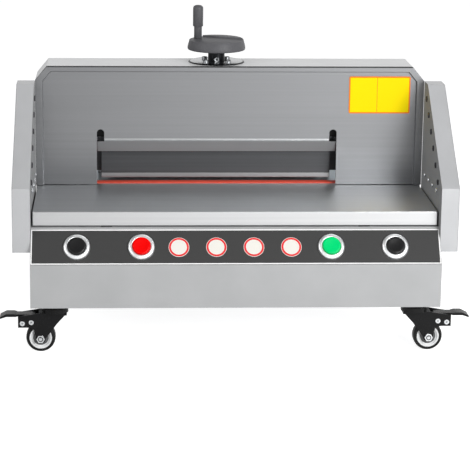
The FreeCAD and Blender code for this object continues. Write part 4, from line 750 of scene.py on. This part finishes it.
coated = add(tree, "GeometryNodeSetMaterial", {"Material": phenolic}, {"Geometry": (solid, 0)})
add(tree, "NodeGroupOutput", links={"Geometry": (coated, 0)})
radius, width, neck = knob["radius"], knob["width"], knob["neck"]
length = knob["y"] - knob["neckEnd"]
bm = bmesh.new()
lathe(bm, [(0, 0), (radius - 3, 0), (radius - 0.8, 1), (radius, 3.2), (radius, width - 3),
           (radius - 0.8, width - 0.8), (radius - 3, width), (neck, width), (neck, length),
           (0, length)], at(knob["x"], knob["y"], knob["z"], "-Y"), turns=96)
mesh = worked(held("knobTurning", bm), tree, {
    "Centre": Vector((knob["x"], knob["y"], knob["z"])) * mm, "Flutes": float(knob["flutes"]),
    "Depth": knob["depth"] * mm, "Crispness": float(knob["crisp"]),
    "Neck": (neck + knob["clear"]) * mm}, "gaugeKnob")
bm = bmesh.new()
bm.from_mesh(mesh)
finished("gaugeKnob", bm, [phenolic], "gauge_knob", angle=40)

# casters: a black fork, whose bright nuts stand out of its legs, and a rubber tyre on a
# dished pale rim
caster = {"x": 245.5, "trail": 19.5, "front": -273, "rear": 237, "axle": 20, "tyre": 20,
          "half": 8.5, "rim": 15.2, "hub": 8, "bore": 4.2, "leg": 12, "rivetTop": 47}
tyre, half, rim, boss = (caster[size] for size in ("tyre", "half", "rim", "hub"))
# one side as (radius, height, finish), out from the bore: hub, rim and tyre, the sunken hub painted
# dark as shade
oneSide = [(caster["bore"], half - 0.4, 2), (boss - 0.6, half, 2), (boss, half - 0.6, 2),
           (boss + 0.8, half - 1.9, 2), (rim - 4.6, half - 1.9, 1), (rim - 2.8, half - 1.2, 1),
           (rim - 2.3, half - 0.4, 1), (rim, half - 0.3, 0), (rim + 0.2, half - 0.8, 0),
           (tyre - 3.7, half - 0.8, 0), (tyre - 3.5, half, 0), (tyre - 2, half - 0.3, 0),
           (tyre - 0.7, half - 1.6, 0), (tyre - 0.1, half - 3.4, 0), (tyre, half - 5, 0)]
farSide = [(radius, -height, finish) for radius, height, finish in reversed(oneSide)]
around = [(radius, height) for radius, height, _ in oneSide + farSide + oneSide[:1]]
bands = [finish for _, _, finish in oneSide + farSide[1:]] + [2]
for row in ("front", "rear"):
    for side, sign in (("left", -1), ("right", 1)):
        name = row + side.capitalize()
        bm = bmesh.new()
        lathe(bm, around, at(sign * (caster["x"] + caster["trail"]), caster[row],
                             caster["axle"], "Y"), turns=64, bands=bands)
        finished(name + "Wheel", bm, [tyreRubber, rimPlastic, hubPaintedShade],
                 f"{row}_{side}_wheel", angle=40)
        softened(name + "Fork", f"{row}_{side}_fork", [casterCoat, zinc], edges["fork"],
                 lambda spot, normal: int(abs(spot.y - caster[row]) > caster["leg"] + 0.1
                                          and spot.z < caster["rivetTop"]))
    print(row, "casters made")

# brake pedals, and on each front fork two dimpled rivets, with a grey disc painted as shade in each
# dimple, and the axle's end on its washer
rivet = {"reach": 32, "level": 43, "apart": 12, "lower": 1.5, "head": 3.6, "dimple": 1.1,
         "low": 0.02}
axle = {"end": 2.3, "high": 4.9, "low": 3.9, "washer": 3.5, "bore": 2.4, "thick": 0.18}
outside = caster["front"] - caster["leg"]
forwards = at(0, 0, 0, "-Y")
head, dimple, flat = rivet["head"], rivet["dimple"], rivet["low"]
washerTop = axle["low"] + axle["thick"]
for side, sign in (("left", -1), ("right", 1)):
    softened(side + "BrakePedal", side + "_brake_pedal", [casterCoat], edges["pedal"])
    fork = f"front_{side}_fork"
    pair = [(forwards, 2, (sign * (caster["x"] + rivet["reach"]), outside, rivet["level"]),
             (sign * rivet["apart"], 0, -rivet["lower"]))]
    single = [(forwards, 1, (sign * (caster["x"] + caster["trail"]), outside, caster["axle"]),
               (0, 0, 0))]
    rows(side + "RivetHeads", fork, zinc,
         [(0, 1.1), (dimple, 1.1), (dimple + 0.4, 1.5), (head - 0.4, 1.45), (head - 0.1, 1.2),
          (head, 0.9), (head, flat), (0, flat)], pair, turns=32, alone=False)
    # a darker grey disc in each dimple is painted shade
    rows(side + "RivetDimples", fork, zincSheetAndShade,
         [(0, 1.2), (dimple, 1.2), (dimple, 1.0), (0, 1.0)], pair, alone=False)
    rows(side + "AxleEnd", fork, zinc,
         [(0, axle["high"]), (axle["end"] - 0.4, axle["high"]), (axle["end"], axle["high"] - 0.4),
          (axle["end"], axle["low"]), (0, axle["low"])], single, alone=False)
    rows(side + "AxleWasher", fork, blackOxideAndShade,
         [(axle["bore"], washerTop), (axle["washer"], washerTop), (axle["washer"], axle["low"]),
          (axle["bore"], axle["low"]), (axle["bore"], washerTop)], single, turns=32,
         alone=False)
print("brake pedals and rivets made")

# stage: a plain pale floor that keeps the shadow, with a painted pool of light, measured in metres,
# that only reflections see
ground = {"half": 6000, "back": 9000, "corner": 200, "thick": 20, "plain": 0.8, "pool": 0.55,
          "dim": 0.15}
floorMaterial = bpy.data.materials.new("paleFloor")
floorMaterial.use_nodes = True
tree = floorMaterial.node_tree
tree.nodes.clear()
rays = add(tree, "ShaderNodeLightPath")
seen = add(tree, "ShaderNodeMath", links={
    0: (rays, "Is Transmission Ray"), 1: (rays, "Is Glossy Ray")}, operation="MAXIMUM")
where = add(tree, "ShaderNodeTexCoord")
across = add(tree, "ShaderNodeSeparateXYZ", links={0: (where, "Object")})
# the floor glows for glossy and transmission rays as a painted pool of light
pool = add(tree, "ShaderNodeMapRange", {
    "From Min": -ground["pool"], "From Max": ground["pool"], "To Min": ground["dim"],
    "To Max": 1.0}, {"Value": (across, "X")})  # the window side of the floor is the brighter one
pooled = add(tree, "ShaderNodeMath", links={0: (seen, 0), 1: (pool, 0)}, operation="MULTIPLY")
plain = add(tree, "ShaderNodeMath", {1: ground["plain"]}, {0: (rays, "Is Camera Ray")},
            operation="MULTIPLY")
glow = add(tree, "ShaderNodeMath", links={0: (pooled, 0), 1: (plain, 0)}, operation="MAXIMUM")
matt = add(tree, "ShaderNodeBsdfDiffuse", {"Color": linear("#D8D8D8")})
lit = add(tree, "ShaderNodeEmission", {"Color": (1, 1, 1, 1)}, {"Strength": (glow, 0)})
both = add(tree, "ShaderNodeAddShader", links={0: (matt, 0), 1: (lit, 0)})
add(tree, "ShaderNodeOutputMaterial", links={"Surface": (both, 0)})
bm = bmesh.new()
slab(bm, roundedBox(-ground["half"], -ground["half"], ground["half"], ground["back"],
                    ground["corner"]), -ground["thick"], 0, at(0, 0, 0))
floor = held("floor", bm)
floor.name = "floor"
floor.data.materials.append(floorMaterial)

# what the metal reflects: white walls under a darker ceiling, brighter at the window
studio = {"unseen": 0.5, "wallTop": 0.3, "overhead": 0.85, "ceiling": 0.35, "side": 0.7,
          "darkSide": 0.7, "window": 1.1}
world = bpy.data.worlds.new("studio")
bpy.context.scene.world = world
world.use_nodes = True
tree = world.node_tree
tree.nodes.clear()
rays = add(tree, "ShaderNodeLightPath")
seen = add(tree, "ShaderNodeMath", links={
    0: (rays, "Is Camera Ray"), 1: (rays, "Is Glossy Ray")}, operation="MAXIMUM")
either = add(tree, "ShaderNodeMath", links={0: (seen, 0), 1: (rays, "Is Transmission Ray")},
             operation="MAXIMUM")
level = add(tree, "ShaderNodeMapRange", {"To Min": studio["unseen"], "To Max": 1.0},
            {"Value": (either, 0)})
where = add(tree, "ShaderNodeTexCoord")
aim = add(tree, "ShaderNodeSeparateXYZ", links={0: (where, "Generated")})
ceiling = add(tree, "ShaderNodeMapRange", {
    "From Min": studio["wallTop"], "From Max": studio["overhead"], "To Min": 1.0,
    "To Max": studio["ceiling"]}, {"Value": (aim, "Z")})
window = add(tree, "ShaderNodeMapRange", {
    "From Min": -studio["side"], "From Max": studio["side"], "To Min": studio["darkSide"],
    "To Max": studio["window"]}, {"Value": (aim, "X")})
room = add(tree, "ShaderNodeMath", links={0: (ceiling, 0), 1: (window, 0)},
           operation="MULTIPLY")
walls = add(tree, "ShaderNodeMath", links={0: (level, 0), 1: (room, 0)}, operation="MULTIPLY")
dimmed = add(tree, "ShaderNodeMath", links={0: (walls, 0), 1: (rays, "Is Camera Ray")},
             operation="MAXIMUM")
sky = add(tree, "ShaderNodeBackground", {"Color": (1, 1, 1, 1)}, {"Strength": (dimmed, 0)})
add(tree, "ShaderNodeOutputWorld", links={"Surface": (sky, 0)})

# soft lamps aimed at the table, in metres and watts: where each is, its side, its power
lamps = {"keyLight": ((1.4, -2.5, 1.35), 1.4, 73), "fillLight": ((-2.2, -1.4, 1.4), 1.6, 22),
         "topLight": ((0.2, 0.6, 2.8), 1.6, 8)}
target = Vector((0, 0, 0.2))
for name, (spot, size, power) in lamps.items():
    lamp = bpy.data.lights.new(name, "AREA")
    lamp.shape, lamp.size, lamp.energy = "SQUARE", size, power
    light = bpy.data.objects.new(name, lamp)
    light.location = spot
    light.rotation_euler = (target - Vector(spot)).to_track_quat("-Z", "Y").to_euler()
    bpy.context.scene.collection.objects.link(light)

# camera: where the photograph was taken from, in metres, fitted to the machine's own edges
view = {"spot": (-0.1526, -2.681, 0.7811), "yaw": -2.76, "pitch": 12.60, "roll": 0.5756,
        "lens": 140.75, "sensor": 36, "shiftX": 0.0534, "shiftY": -0.1234, "farthest": 50}
yaw, pitch, roll = (radians(view[turn]) for turn in ("yaw", "pitch", "roll"))
across = Vector((cos(yaw), sin(yaw), 0))
ahead = Vector((-sin(yaw), cos(yaw), 0))
upright = sin(pitch) * ahead + cos(pitch) * Vector((0, 0, 1))
sight = cos(pitch) * ahead - sin(pitch) * Vector((0, 0, 1))
rightward = cos(roll) * across + sin(roll) * upright
upward = -sin(roll) * across + cos(roll) * upright
turned = Matrix((rightward, upward, -sight)).transposed().to_4x4()
camera = bpy.data.objects.new("camera", bpy.data.cameras.new("camera"))
camera.matrix_world = Matrix.Translation(view["spot"]) @ turned
camera.data.lens, camera.data.sensor_width = view["lens"], view["sensor"]
camera.data.sensor_fit = "HORIZONTAL"
camera.data.shift_x, camera.data.shift_y = view["shiftX"], view["shiftY"]
camera.data.dof.use_dof = False
camera.data.clip_end = view["farthest"]
bpy.context.scene.collection.objects.link(camera)
bpy.context.scene.camera = camera
bpy.context.scene.view_settings.view_transform = "Standard"
print("stage, light and camera set")
